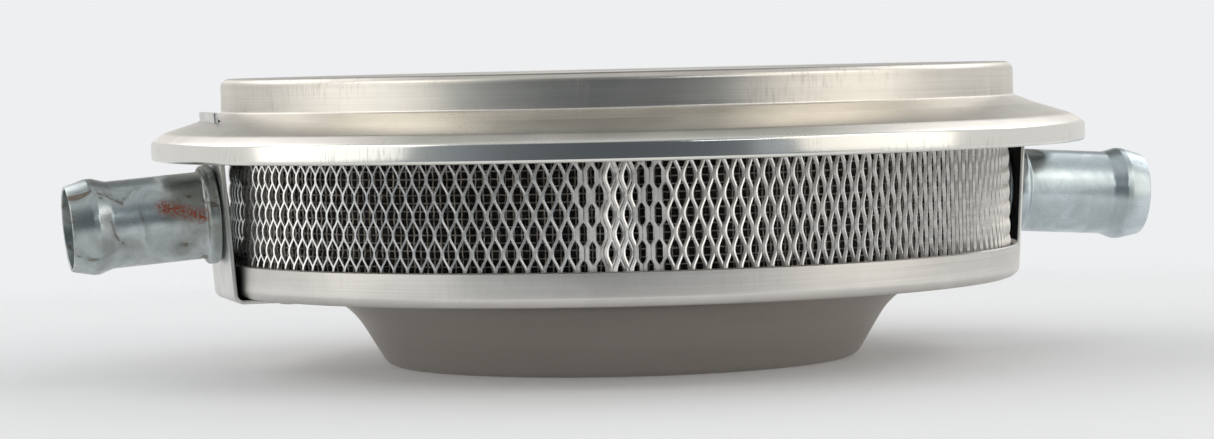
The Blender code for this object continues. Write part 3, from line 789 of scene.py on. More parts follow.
@dataclass
class StrapBracket:
    """A strap riveted under the pan, rising past the element and through the lid, with its spigot."""

    side: str
    azimuth: float
    lean: float
    lip_over_pan: float
    tab_rise: float
    housing: Housing
    thickness: float = 1.2
    width: float = 36.0
    bend: float = 1.8
    tab_width: float = 28.0
    foot_end_r: float = 100.25
    gap_to_pan: float = 0.2
    shoulder_z: float = 76.0
    shoulder_drop: float = 3.0
    slot_clearance: float = 0.5
    slot_end_clearance: float = 3.0
    edge: float = 0.22
    rivet_pitch: float = 20.0
    rivet_circle_r: float = 105.7
    rivet_r: float = 2.0
    rivet_head_r: float = 3.8
    rivet_head: float = 0.9
    spigot_r: float = 13.0
    spigot_wall: float = 1.2
    spigot_length: float = 44.5
    stub_step: float = 0.6
    swage_lip: float = 0.8
    swage: float = 0.8
    root_bead_rise: float = 1.8
    root_bead_width: float = 4.0
    hose_bead_rise: float = 1.3
    hose_bead_from_tip: float = 7.2
    hose_bead_half: float = 5.0
    touch: float = 0.3
    cutter_reach: float = 9.0
    cutter_top_z: float = 99.0
    rivet_steps: int = 32
    steps: int = 96

    @property
    def turn(self) -> Matrix:
        """The bracket's own frame, whose X points outward through the strap."""
        return Matrix.Rotation(math.radians(self.azimuth), 4, "Z")

    def inner_x(self, z: float) -> float:
        """Distance from the axis to the strap's inner face at a height."""
        tangent_z = self.housing.pan_floor + 3.0
        return self.housing.pan_r + self.gap_to_pan + (z - tangent_z) * math.tan(math.radians(self.lean))

    def outer_x(self, z: float) -> float:
        """Distance from the axis to the strap's outer face at a height."""
        return self.inner_x(z) + self.thickness / math.cos(math.radians(self.lean))

    @property
    def spigot_frame(self) -> Matrix:
        """Frame on the strap's outer face whose Z runs along the spigot."""
        z = self.housing.pan_top + self.lip_over_pan + self.spigot_r - self.stub_step + self.swage_lip
        root = Vector((self.outer_x(z), 0, z)) * MM
        tilt = Matrix.Rotation(math.pi / 2 + math.radians(self.lean), 4, "Y")
        return self.turn @ Matrix.Translation(root) @ tilt

    def lid_slot_cutter(self) -> bpy.types.Object:
        """The shape of the slot that the tab passes through."""
        low, high = self.shoulder_z - 8, self.shoulder_z + 8
        gap = self.slot_clearance
        outline = [
            (self.inner_x(low) - gap, low), (self.outer_x(low) + gap, low),
            (self.outer_x(high) + gap, high), (self.inner_x(high) - gap, high),
        ]
        half = self.tab_width / 2 + self.slot_end_clearance
        return solid(f"{self.side}_slot_cutter", prism(outline, -half, half), self.turn)

    def build_strap(self, finish: bpy.types.Material) -> None:
        """Bend the strap, pierce it for the spigot, narrow its tab and round its edges.

        Args:
            finish: The strap's material.
        """
        foot_z = self.housing.pan_floor - self.gap_to_pan - self.thickness
        top_z = self.shoulder_z + self.tab_rise
        path = fold([
            (self.foot_end_r, foot_z, 0),
            (self.outer_x(foot_z), foot_z, self.bend + self.thickness),
            (self.outer_x(top_z), top_z, 0),
        ])
        half = self.width / 2
        strap = solid(
            f"{self.side}_strap", prism(sheet(path, self.thickness), -half, half), self.turn
        )
        notch_z = self.shoulder_z - self.housing.lid_sheet - self.shoulder_drop
        x = self.outer_x(notch_z)
        reach, top = self.cutter_reach, self.cutter_top_z
        notch = [(x - reach, notch_z), (x + reach, notch_z), (x + reach, top), (x - reach, top)]
        cutters = [
            solid("notch", prism(notch, low, high), self.turn)
            for low, high in ((-half - 1, -self.tab_width / 2), (self.tab_width / 2, half + 1))
        ]
        hole_r = self.spigot_r - self.stub_step + self.touch
        hole = [(0, -reach), (hole_r, -reach), (hole_r, reach), (0, reach)]
        cutters.append(solid("hole", lathe(hole, self.steps), self.spigot_frame))
        cut_away(strap, cutters)
        soften(strap, self.edge)
        dress(strap, finish, Slot.STRAP, Body.HOUSING, f"{self.side}_bracket")

    def spigot_outline(self) -> list[Vector]:
        """The spigot's section, from its swaged end behind the strap to its tip."""
        tip = self.spigot_length
        bead = tip - self.hose_bead_from_tip
        back = -(self.thickness + self.touch)
        stub = self.spigot_r - self.stub_step
        bore = self.spigot_r - self.spigot_wall
        root = self.touch + self.root_bead_width
        crest = self.spigot_r + self.hose_bead_rise
        rim = self.spigot_r + self.root_bead_rise
        outer = fold([
            (stub - self.spigot_wall, back - self.swage, 0),
            (stub + self.swage_lip, back - self.swage, 0.5),
            (stub + self.swage_lip, back, 0.2),
            (stub, back, 0.1),
            (stub, self.touch, 0.1),
            (rim, self.touch, 1.4),
            (rim, root - 0.4, 1.6),
            (self.spigot_r, root + 0.5, 1.0),
            (self.spigot_r, bead - self.hose_bead_half, 3.2),
            (crest, bead - 0.9, 1.8),
            (crest, bead + 0.9, 1.8),
            (self.spigot_r - 0.3, tip, 0.45),
            (bore, tip, 0.35),
            (bore, self.touch + 1.0, 0.4),
            (stub - self.spigot_wall, self.touch - 1.0, 0.4),
            (stub - self.spigot_wall, back - self.swage, 0),
        ], 15.0)
        return outer[:-1]

    def build_spigot(self, finish: bpy.types.Material) -> None:
        """Turn the spigot, with its beads rolled in."""
        turned = lathe(self.spigot_outline(), self.steps)
        tube = solid(f"{self.side}_hose_spigot", turned, self.spigot_frame)
        dress(tube, finish, Slot.STEEL, Body.HOUSING, f"{self.side}_spigot")

    def build_rivets(self, finish: bpy.types.Material) -> None:
        """Head the two rivets that tie the strap's foot to the pan.

        Args:
            finish: The rivets' material.
        """
        low = self.housing.pan_floor - self.gap_to_pan - self.thickness - self.touch / 3
        high = self.housing.pan_floor + self.housing.pan_sheet + self.touch / 3
        dome = [(math.cos(a), math.sin(a)) for a in np.linspace(0, math.pi / 2, 7)]
        under = [(self.rivet_head_r * c, low - self.rivet_head * s) for c, s in reversed(dome)]
        over = [(self.rivet_head_r * c, high + self.rivet_head * s) for c, s in dome]
        outline = [*under, (self.rivet_r, low), (self.rivet_r, high), *over]
        outline = [(0.0 if r < 1e-6 else r, z) for r, z in outline]
        offset = self.rivet_pitch / 2
        x = math.sqrt(self.rivet_circle_r**2 - offset**2)
        for number, y in enumerate((-offset, offset), 1):
            frame = self.turn @ Matrix.Translation(Vector((x, y, 0)) * MM)
            rivet = solid(f"{self.side}_rivet_{number}", lathe(outline, self.rivet_steps), frame)
            dress(rivet, finish, Slot.STRAP, Body.HOUSING, f"{self.side}_foot_rivet_{number}")


@dataclass
class Lid:
    """The spun cover: a raised plateau with a well, a sloping shoulder and a hemmed skirt."""

    housing: Housing
    plateau_r: float = 121.1
    plateau_corner: float = 2.5
    plateau_rise: float = 10.0
    crease_corner: float = 0.8
    shoulder_width: float = 6.4
    shoulder_drop: float = 2.6
    brow_width: float = 3.9
    brow_drop: float = 3.5
    skirt_height: float = 5.6
    skirt_corner: float = 1.6
    hem_corner: float = 1.0
    hem_width: float = 2.6
    well_seat_r: float = 15.0
    well_draft: float = 3.0
    well_corner: float = 1.2
    hole_r: float = 3.6
    steps: int = 216

    def build(self, finish: bpy.types.Material, brackets: Sequence[StrapBracket]) -> None:
        """Spin the lid and pierce its two slots.

        Args:
            finish: The lid's material.
            brackets: The straps whose tabs pass through it.
        """
        top, bottom, r = self.housing.lid_top, self.housing.lid_bottom, self.housing.lid_r
        crease = top - self.plateau_rise
        shoulder = crease - self.shoulder_drop
        brow = shoulder - self.brow_drop
        seat = self.housing.well_seat
        path = fold([
            (self.hole_r, seat, 0),
            (self.well_seat_r, seat, self.well_corner),
            (self.well_seat_r + self.well_draft, top, self.well_corner + self.housing.lid_sheet),
            (self.plateau_r, top, self.plateau_corner),
            (self.plateau_r, crease, self.crease_corner),
            (self.plateau_r + self.shoulder_width, shoulder, 8.0),
            (r - self.brow_width, brow, 7.0),
            (r, bottom + self.skirt_height, self.skirt_corner),
            (r, bottom, self.hem_corner),
            (r - self.hem_width, bottom, 0),
        ])
        lid = solid("spun_lid", lathe(sheet(path[::-1], self.housing.lid_sheet), self.steps))
        cut_away(lid, [bracket.lid_slot_cutter() for bracket in brackets])
        dress(lid, finish, Slot.LID, Body.HOUSING, "top_cover")


@dataclass
class BasePan:
    """The spun pan with the neck that drops over the air horn."""

    housing: Housing
    collar_r: float = 67.0
    collar_z: float = 9.0
    seat_width: float = 5.0
    neck_corner: float = 5.0
    cone_slope: float = 0.6
    flare: float = 24.0
    pan_corner: float = 3.0
    rim: float = 0.35
    liner_wall: float = 1.6
    liner_lip: float = 1.6
    liner_steps: int = 144
    touch: float = 0.3
    steps: int = 216

    def build(self, finish: bpy.types.Material) -> None:
        """Spin the pan and neck in one piece.

        Args:
            finish: The pan's material.
        """
        floor = self.housing.pan_floor
        cone_r = self.collar_r + self.seat_width
        path = fold([
            (self.collar_r, self.collar_z, 0),
            (self.collar_r, 0, 0.6),
            (cone_r, 0, self.neck_corner),
            (cone_r + floor * self.cone_slope, floor, self.flare),
            (self.housing.pan_r, floor, self.pan_corner),
            (self.housing.pan_r, self.housing.pan_top - self.rim, 0),
            (self.housing.pan_r - self.rim, self.housing.pan_top, 0),
        ], 6.0)
        pan = solid("spun_pan", lathe(sheet(path, self.housing.pan_sheet), self.steps))
        dress(pan, finish, Slot.PAN, Body.HOUSING, "base_pan")

    def build_liner(self, finish: bpy.types.Material) -> None:
        """Mould the rubber liner that seals the neck, with a lip over the collar's edge.

        Args:
            finish: The liner's material.
        """
        lip_z = self.collar_z + self.touch
        bore = self.collar_r - self.touch - self.liner_wall
        outer = self.collar_r - self.touch
        lip_r = self.collar_r + self.housing.pan_sheet
        outline = fold([
            (bore, 4.0, 0), (bore, 0.6, 0.5), (outer, 0.6, 0.5), (outer, lip_z, 0.1),
            (lip_r, lip_z, 0.3), (lip_r, lip_z + self.liner_lip, 0.6),
            (bore, lip_z + self.liner_lip, 0.6), (bore, 4.0, 0),
        ], 20.0)
        liner = solid("neck_liner", lathe(outline[:-1], self.liner_steps))
        dress(liner, finish, Slot.RUBBER, Body.HOUSING, "neck_seal_ring")


@dataclass
class ExpandedBand:
    """A ring of expanded metal: slit sheet pulled open into tall diamonds, each strand tilted.

    The strands are modelled one by one. Each zigzags up the ring and touches its neighbours in
    turn, as the slit sheet does, and all are tilted the same way. At its flat spots, where welding
    electrodes have pressed the mesh, the strands lie flat, are wider where they meet and meet for
    longer, so that the openings shrink to short almonds.
    """

    columns: int
    half_row: float
    strand: float
    thickness: float
    tilt: float
    centre_r: float
    low: float
    high: float
    phase: float = 0.0
    row_offset: float = 0.0
    samples: int = 6
    bond_share: float = 0.1
    seed: int = 7
    flat_spots: tuple[tuple[float, float], ...] = ()
    flat_gain: float = 0.34
    flat_bond: float = 0.2
    cut_slant: float = 20.0
    flat_lift: float = 0.35
    flat_shift: float = 0.0
    flat_tilt: float = 3.0
    flat_edge: float = 0.3
    tilt_wobble: float = 1.5
    width_wobble: float = 0.04
    side_wobble: float = 0.03
    flat_wobble: float = 0.09

    def flatness(self, azimuth: np.ndarray) -> np.ndarray:
        """How far the welding electrodes have pressed the mesh flat, from 0 to 1.

        Args:
            azimuth: Directions round the ring, in degrees.

        Returns:
            The flatness at each direction.
        """
        result = np.zeros_like(azimuth)
        for centre, half in self.flat_spots:
            off = np.abs((azimuth - centre + 180) % 360 - 180)
            result = np.maximum(result, np.clip((half - off) / (half * self.flat_edge) + 0.5, 0, 1))
        return result

    def strips(self, first: int, last: int) -> tuple[np.ndarray, np.ndarray]:
        """Points and faces of the strands from first up to last.

        Args:
            first: Number of the first strand.
            last: Number after the last strand's.

        Returns:
            An array of points in millimetres and an array of four-cornered faces.
        """
        rng = np.random.default_rng(self.seed)
        rows = math.ceil((self.high - self.low) / self.half_row) + 2
        start = self.low - self.half_row + self.row_offset
        levels = start + self.half_row * np.arange(rows * self.samples + 1) / self.samples
        inside = (levels > self.low) & (levels < self.high)
        z = np.concatenate([[self.low], levels[inside], [self.high]])
        strands = np.arange(first, last)
        jitter = rng.normal(0, 1, (2 * self.columns, 3))[strands % (2 * self.columns)]
        place = (z[None, :] - start) / self.half_row
        row = np.floor(place)
        middle = (strands[:, None] + 0.5) * 180 / self.columns + self.phase
        flat = self.flatness(middle)
        share = self.bond_share + self.flat_bond * flat
        within = np.clip((place - row - share) / (1 - 2 * share), 0, 1)
        ease = 0.5 * (0.5 - 0.5 * np.cos(np.pi * within)) + 0.5 * within
        lean = np.where((strands[:, None] + row) % 2 == 0, 2 * ease - 1, 1 - 2 * ease)
        tilt = self.tilt * (1 - flat) + self.flat_tilt * flat
        tilt = np.radians(tilt + self.tilt_wobble * jitter[:, 2:3])
        wide = self.strand * (1 + self.flat_gain * flat * (lean**4 - 0.5))
        wide = wide * (1 + self.width_wobble * jitter[:, 0:1])
        pitch = math.tau * self.centre_r / self.columns
        reach = pitch / 4 - wide * np.cos(tilt) / 2
        tangent = reach * lean + (self.side_wobble + self.flat_wobble * flat) * jitter[:, 1:2]
        radial = -wide / 2 * np.sin(tilt) * lean + self.flat_lift * flat
        points = []
        shy = self.thickness * math.tan(math.radians(self.cut_slant))
        for across, through, back in ((-1, -1, 0), (1, -1, 0), (1, 1, shy), (-1, 1, 0)):
            out = across * wide / 2 - back
            t = tangent + out * np.cos(tilt) - through * self.thickness / 2 * np.sin(tilt)
            r = radial + out * np.sin(tilt) + through * self.thickness / 2 * np.cos(tilt)
            angle = np.radians(middle + self.flat_shift * flat) + t / self.centre_r
            radius = self.centre_r + r
            height = np.broadcast_to(z[None, :], radius.shape)
            points.append(np.stack([radius * np.cos(angle), radius * np.sin(angle), height], -1))
        grid = np.stack(points, 2)
        count, length = len(strands), len(z)
        base = (np.arange(count)[:, None] * length + np.arange(length)[None, :]) * 4
        faces = []
        for corner in range(4):
            follow = (corner + 1) % 4
            a, b = base[:, :-1] + corner, base[:, :-1] + follow
            c, d = base[:, 1:] + follow, base[:, 1:] + corner
            faces.append(np.stack([a, b, c, d], -1).reshape(-1, 4))
        low = base[:, 0]
        high = base[:, -1]
        faces.append(np.stack([low + 3, low + 2, low + 1, low], -1))
        faces.append(np.stack([high, high + 1, high + 2, high + 3], -1))
        return grid.reshape(-1, 3), np.concatenate(faces)

    def mesh(self, name: str, parts: Sequence[tuple[np.ndarray, np.ndarray]]) -> bpy.types.Object:
        """Join runs of strands into one object.

        Args:
            name: The object's name.
            parts: Points and faces of each run.

        Returns:
            The new object.
        """
        points, faces, sheared, offset = [], [], [], 0
        for some_points, some_faces in parts:
            points.append(some_points)
            faces.append(some_faces + offset)
            # a strand's corners go round in fours, and its sheared edges start at an odd one
            first, follow, third = (some_faces[:, corner] % 4 for corner in range(3))
            sheared.append((first % 2 == 1) & (follow == (first + 1) % 4) & (third == follow))
            offset += len(some_points)
        mesh = bpy.data.meshes.new(name)
        mesh.from_pydata((np.concatenate(points) * MM).tolist(), [], np.concatenate(faces).tolist())
        edge = mesh.attributes.new(SHEARED, "FLOAT", "FACE")
        edge.data.foreach_set("value", np.concatenate(sheared).astype(np.float32))
        return place_mesh(name, mesh)


@dataclass
class FilterElement:
    """The ring that catches a flame: expanded metal, wire cloth and two gaskets."""

    housing: Housing
    column_pitch: float = 4.59
    half_row: float = 5.24
    row_offset: float = 1.29
    phase: float = 1.22
    strand: float = 1.04
    strand_thickness: float = 0.5
    tilt: float = 50.0
    lap_from: float = -96.2
    lap_to: float = -83.4
    lap_shift: float = 0.58
    left_spots: tuple[float, float] = (-94.0, 1.85)
    right_spots: tuple[float, float] = (-85.8, 1.66)
    cloth_r: float = 116.9
    cloth_pitch: float = 2.2
    wire_r: float = 0.24
    crimp: float = 0.2
    inner_r: float = 112.2
    inner_pitch: float = 6.2
    inner_half_row: float = 7.0
    inner_strand: float = 1.3
    inner_tilt: float = 30.0
    lap_lift: float = 0.75
    lap_tilt_share: float = 0.7
    lap_pull: float = -0.4
    gasket_inner_r: float = 111.8
    gasket_outer_r: float = 117.7
    gasket: float = 1.5
    gasket_steps: int = 144

    def build_outer_band(self, finish: bpy.types.Material) -> None:
        """Form the outer band, with the lapped and spot-welded seam where its ends meet.

        Args:
            finish: The expanded sheet's material.
        """
        centre = self.housing.mesh_r - 0.45
        columns = round(math.tau * centre / self.column_pitch)
        spots = (self.left_spots, self.right_spots)
        band = ExpandedBand(
            columns, self.half_row, self.strand, self.strand_thickness, self.tilt, centre,
            self.housing.mesh_bottom, self.housing.mesh_top, phase=self.phase,
            row_offset=self.row_offset, flat_spots=spots, flat_lift=0.1,
        )
        lap = ExpandedBand(
            columns, self.half_row, self.strand, self.strand_thickness,
            self.tilt * self.lap_tilt_share, centre + self.lap_lift,
            self.housing.mesh_bottom, self.housing.mesh_top, phase=self.phase + self.lap_shift,
            row_offset=self.row_offset, flat_spots=spots, flat_lift=0.0, flat_shift=self.lap_pull,
            seed=11,
        )
        step = 180 / columns
        first = math.ceil((self.lap_from - lap.phase) / step)
        last = math.floor((self.lap_to - lap.phase) / step)
        ring = band.mesh("outer_expanded_band", [band.strips(0, 2 * columns), lap.strips(first, last)])
        dress(ring, finish, Slot.MESH, Body.HOUSING, "outer_mesh_band")

    def build_inner_band(self, finish: bpy.types.Material) -> None:
        """Form the coarser band that lines the element."""
        columns = round(math.tau * self.inner_r / self.inner_pitch)
        band = ExpandedBand(
            columns, self.inner_half_row, self.inner_strand, self.strand_thickness, self.inner_tilt,
            self.inner_r, self.housing.mesh_bottom, self.housing.mesh_top, samples=4, seed=3,
        )
        ring = band.mesh("inner_expanded_band", [band.strips(0, 2 * columns)])
        dress(ring, finish, Slot.MESH, Body.HOUSING, "inner_mesh_band")

    def build_cloth(self, finish: bpy.types.Material) -> None:
        """Weave the outermost layer of wire cloth, wire by wire.

        Args:
            finish: The wire's material.
        """
        low, high = self.housing.mesh_bottom + 0.3, self.housing.mesh_top - 0.3
        uprights = 2 * round(math.pi * self.cloth_r / self.cloth_pitch)
        hoops = round((high - low) / self.cloth_pitch)
        heights = low + (high - low) * (np.arange(hoops) + 0.5) / hoops
        points: list[np.ndarray] = []
        faces: list[np.ndarray] = []
        offset = 0
        sides = np.radians([90, 210, 330])
        up_z = np.concatenate([[low], heights, [high]])
        for upright in range(uprights):
            wave = self.crimp * np.where((np.arange(len(up_z)) + upright) % 2 == 0, 1.0, -1.0)
            angle = math.tau * upright / uprights
            ring = []
            for side in sides:
                radius = self.cloth_r + wave + self.wire_r * math.sin(side)
                bearing = angle + self.wire_r * math.cos(side) / self.cloth_r
                ring.append(np.stack([radius * math.cos(bearing), radius * math.sin(bearing), up_z], -1))
            grid = np.stack(ring, 1)
            base = offset + np.arange(len(up_z) - 1)[:, None] * 3 + np.arange(3)[None, :]
            follow = offset + np.arange(len(up_z) - 1)[:, None] * 3 + (np.arange(3)[None, :] + 1) % 3
            faces.append(np.stack([base, follow, follow + 3, base + 3], -1).reshape(-1, 4))
            points.append(grid.reshape(-1, 3))
            offset += grid.shape[0] * 3
        bearings = math.tau * np.arange(uprights) / uprights
        for hoop, height in enumerate(heights):
            wave = -self.crimp * np.where((np.arange(uprights) + hoop + 1) % 2 == 0, 1.0, -1.0)
            ring = []
            for side in sides:
                radius = self.cloth_r + wave + self.wire_r * math.sin(side)
                level = np.full(uprights, height + self.wire_r * math.cos(side))
                ring.append(np.stack([radius * np.cos(bearings), radius * np.sin(bearings), level], -1))
            grid = np.stack(ring, 1)
            this = np.arange(uprights)[:, None]
            after = (this + 1) % uprights
            corner = np.arange(3)[None, :]
            follow_corner = (corner + 1) % 3
            faces.append(np.stack([
                offset + this * 3 + corner, offset + after * 3 + corner,
                offset + after * 3 + follow_corner, offset + this * 3 + follow_corner,
            ], -1).reshape(-1, 4))
            points.append(grid.reshape(-1, 3))
            offset += uprights * 3
        mesh = bpy.data.meshes.new("woven_wire_cloth")
        mesh.from_pydata((np.concatenate(points) * MM).tolist(), [], np.concatenate(faces).tolist())
        work = bmesh.new()
        work.from_mesh(mesh)
        bmesh.ops.holes_fill(work, edges=[e for e in work.edges if e.is_boundary], sides=3)
        bmesh.ops.recalc_face_normals(work, faces=work.faces)
        work.to_mesh(mesh)
        work.free()
        cloth = place_mesh("woven_wire_cloth", mesh)
        dress(cloth, finish, Slot.CLOTH, Body.HOUSING, "wire_cloth_layer_1")

    def build_gaskets(self, finish: bpy.types.Material) -> None:
        """Mould the two flat gaskets.

        Args:
            finish: The gaskets' material.
        """
        for node in ("lower_element_gasket", "upper_element_gasket"):
            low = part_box(node)[0].z / MM
            high = low + self.gasket
            outline = fold([
                (self.gasket_inner_r, low + 0.7, 0), (self.gasket_inner_r, low, 0.3),
                (self.gasket_outer_r, low, 0.3), (self.gasket_outer_r, high, 0.3),
                (self.gasket_inner_r, high, 0.3), (self.gasket_inner_r, low + 0.7, 0),
            ], 30.0)
            ring = solid(node.replace("element_", "") + "_ring", lathe(outline[:-1], self.gasket_steps))
            dress(ring, finish, Slot.RUBBER, Body.HOUSING, node)


@dataclass
class HoldDown:
    """The captive screw in the lid's well, with its washers and the clip that keeps it."""

    housing: Housing
    shank_r: float = 3.1
    tip_z: float = 8.0
    thread_top_z: float = 36.0
    pitch: float = 1.27
    thread_depth: float = 0.5
    head_flats: float = 11.1
    head_height: float = 4.2
    washer_r: float = 11.0
    washer: float = 1.2
    seal_r: float = 12.0
    seal: float = 1.2
    clip_r: float = 6.4
    clip: float = 1.0
    clip_gap: float = 52.0
    clip_points: int = 41
    seal_bore_r: float = 3.7
    chamfer: float = 0.9
    dish: float = 0.4
    tip_taper: float = 1.4
    travel: float = 5.0
    touch: float = 0.3
    washer_steps: int = 72
    chamfer_steps: int = 48
    steps: int = 32

    def ring(self, inner: float, outer: float, low: float, high: float, corner: float) -> list[Vector]:
        """Outline of a washer with rounded corners."""
        middle = (low + high) / 2
        return fold([
            (inner, middle, 0), (inner, low, corner), (outer, low, corner),
            (outer, high, corner), (inner, high, corner), (inner, middle, 0),
        ], 30.0)[:-1]

    def build_screw(self, steel: bpy.types.Material) -> None:
        """Form the hexagon head with its chamfer, and the shank with its rolled thread.

        Args:
            steel: The screw's material.
        """
        low = self.housing.well_seat + self.seal + self.washer + 3 * self.touch
        high = low + self.head_height
        across = self.head_flats / 2 / math.cos(math.pi / 6)
        head = lathe([(0, low), (across, low), (across, high), (0, high)], 6)
        head_piece = solid("hexagon_head", head)
        blank = fold([
            (0, low - 1, 0), (across + 0.2, low - 1, 0), (across + 0.2, high - self.chamfer, 0),
            (self.head_flats / 2 - 0.2, high, 0), (self.shank_r + 0.9, high, 0.2),
            (self.shank_r + 0.5, high - self.dish, 0.2), (0, high - self.dish, 0),
        ], 30.0)
        chamfer = solid("chamfer", lathe(blank, self.chamfer_steps))
        meet = head_piece.modifiers.new("chamfer", "BOOLEAN")
        meet.operation = "INTERSECT"
        meet.solver = "EXACT"
        meet.object = chamfer
        bpy.context.view_layer.update()
        apply_modifiers(head_piece)
        bpy.data.objects.remove(chamfer)
        soften(head_piece, 0.15, 1)
        dress(head_piece, steel, Slot.STEEL, Body.SCREW, "hold_down_screw")

        work = bmesh.new()
        rows = np.concatenate([
            np.arange(self.tip_z, self.thread_top_z, self.pitch / 8),
            [self.thread_top_z + 0.3, low + 0.5],
        ])
        rings = []
        for z in rows:
            ring = []
            for step in range(self.steps):
                wave = (z / self.pitch - step / self.steps) % 1.0
                depth = self.thread_depth * abs(2 * wave - 1) if z < self.thread_top_z else 0.0
                point = max(0.0, self.tip_z + self.tip_taper - z) * 0.75
                r = min(self.shank_r - depth, self.shank_r - point)
                angle = math.tau * step / self.steps
                ring.append(work.verts.new((r * math.cos(angle), r * math.sin(angle), z)))
            rings.append(ring)
        for ring, after in zip(rings, rings[1:], strict=False):
            for step in range(self.steps):
                follow = (step + 1) % self.steps
                work.faces.new([ring[step], ring[follow], after[follow], after[step]])
        work.faces.new(rings[0][::-1])
        work.faces.new(rings[-1])
        shank = solid("threaded_shank", work)
        dress(shank, steel, Slot.STEEL, Body.SCREW, "hold_down_screw")

    def build_clip(self, steel: bpy.types.Material) -> None:
        """Punch the open clip that snaps into the shank's groove.

        Args:
            steel: The clip's material.
        """
        high = self.housing.well_seat - self.housing.lid_sheet - self.travel - self.touch
        gap = math.radians(self.clip_gap / 2)
        outer = np.linspace(gap, math.tau - gap, self.clip_points)
        outline = [(self.clip_r * math.cos(a), self.clip_r * math.sin(a)) for a in outer]
        bore = self.shank_r + 0.05
        outline += [(bore * math.cos(a), bore * math.sin(a)) for a in outer[::-1]]
        work = bmesh.new()
        face = work.faces.new([work.verts.new((x, y, high - self.clip)) for x, y in outline])
        grown = bmesh.ops.extrude_face_region(work, geom=[face])["geom"]
        moved = [item for item in grown if isinstance(item, bmesh.types.BMVert)]
        bmesh.ops.translate(work, vec=(0, 0, self.clip), verts=moved)
        clip = solid("snap_clip", work)
        soften(clip, 0.12, 1)
        dress(clip, steel, Slot.STEEL, Body.SCREW, "screw_retaining_clip")

    def build_washers(self, steel: bpy.types.Material, rubber: bpy.types.Material) -> None:
        """Stamp the steel washer and mould the sealing washer under it.

        Args:
            steel: The steel washer's material.
            rubber: The sealing washer's material.
        """
        low = self.housing.well_seat + self.touch
        seal = self.ring(self.seal_bore_r, self.seal_r, low, low + self.seal, 0.3)
        cushion = solid("sealing_washer", lathe(seal, self.washer_steps))
        dress(cushion, rubber, Slot.RUBBER, Body.HOUSING, "well_seal_washer")
        low += self.seal + self.touch
        washer = self.ring(self.shank_r + self.touch, self.washer_r, low, low + self.washer, 0.2)
        plate = solid("flat_washer", lathe(washer, self.washer_steps))
        dress(plate, steel, Slot.STEEL, Body.WASHER, "hold_down_washer")


# ---------------------------------------------------------------------------------------------
# Studio
# ---------------------------------------------------------------------------------------------


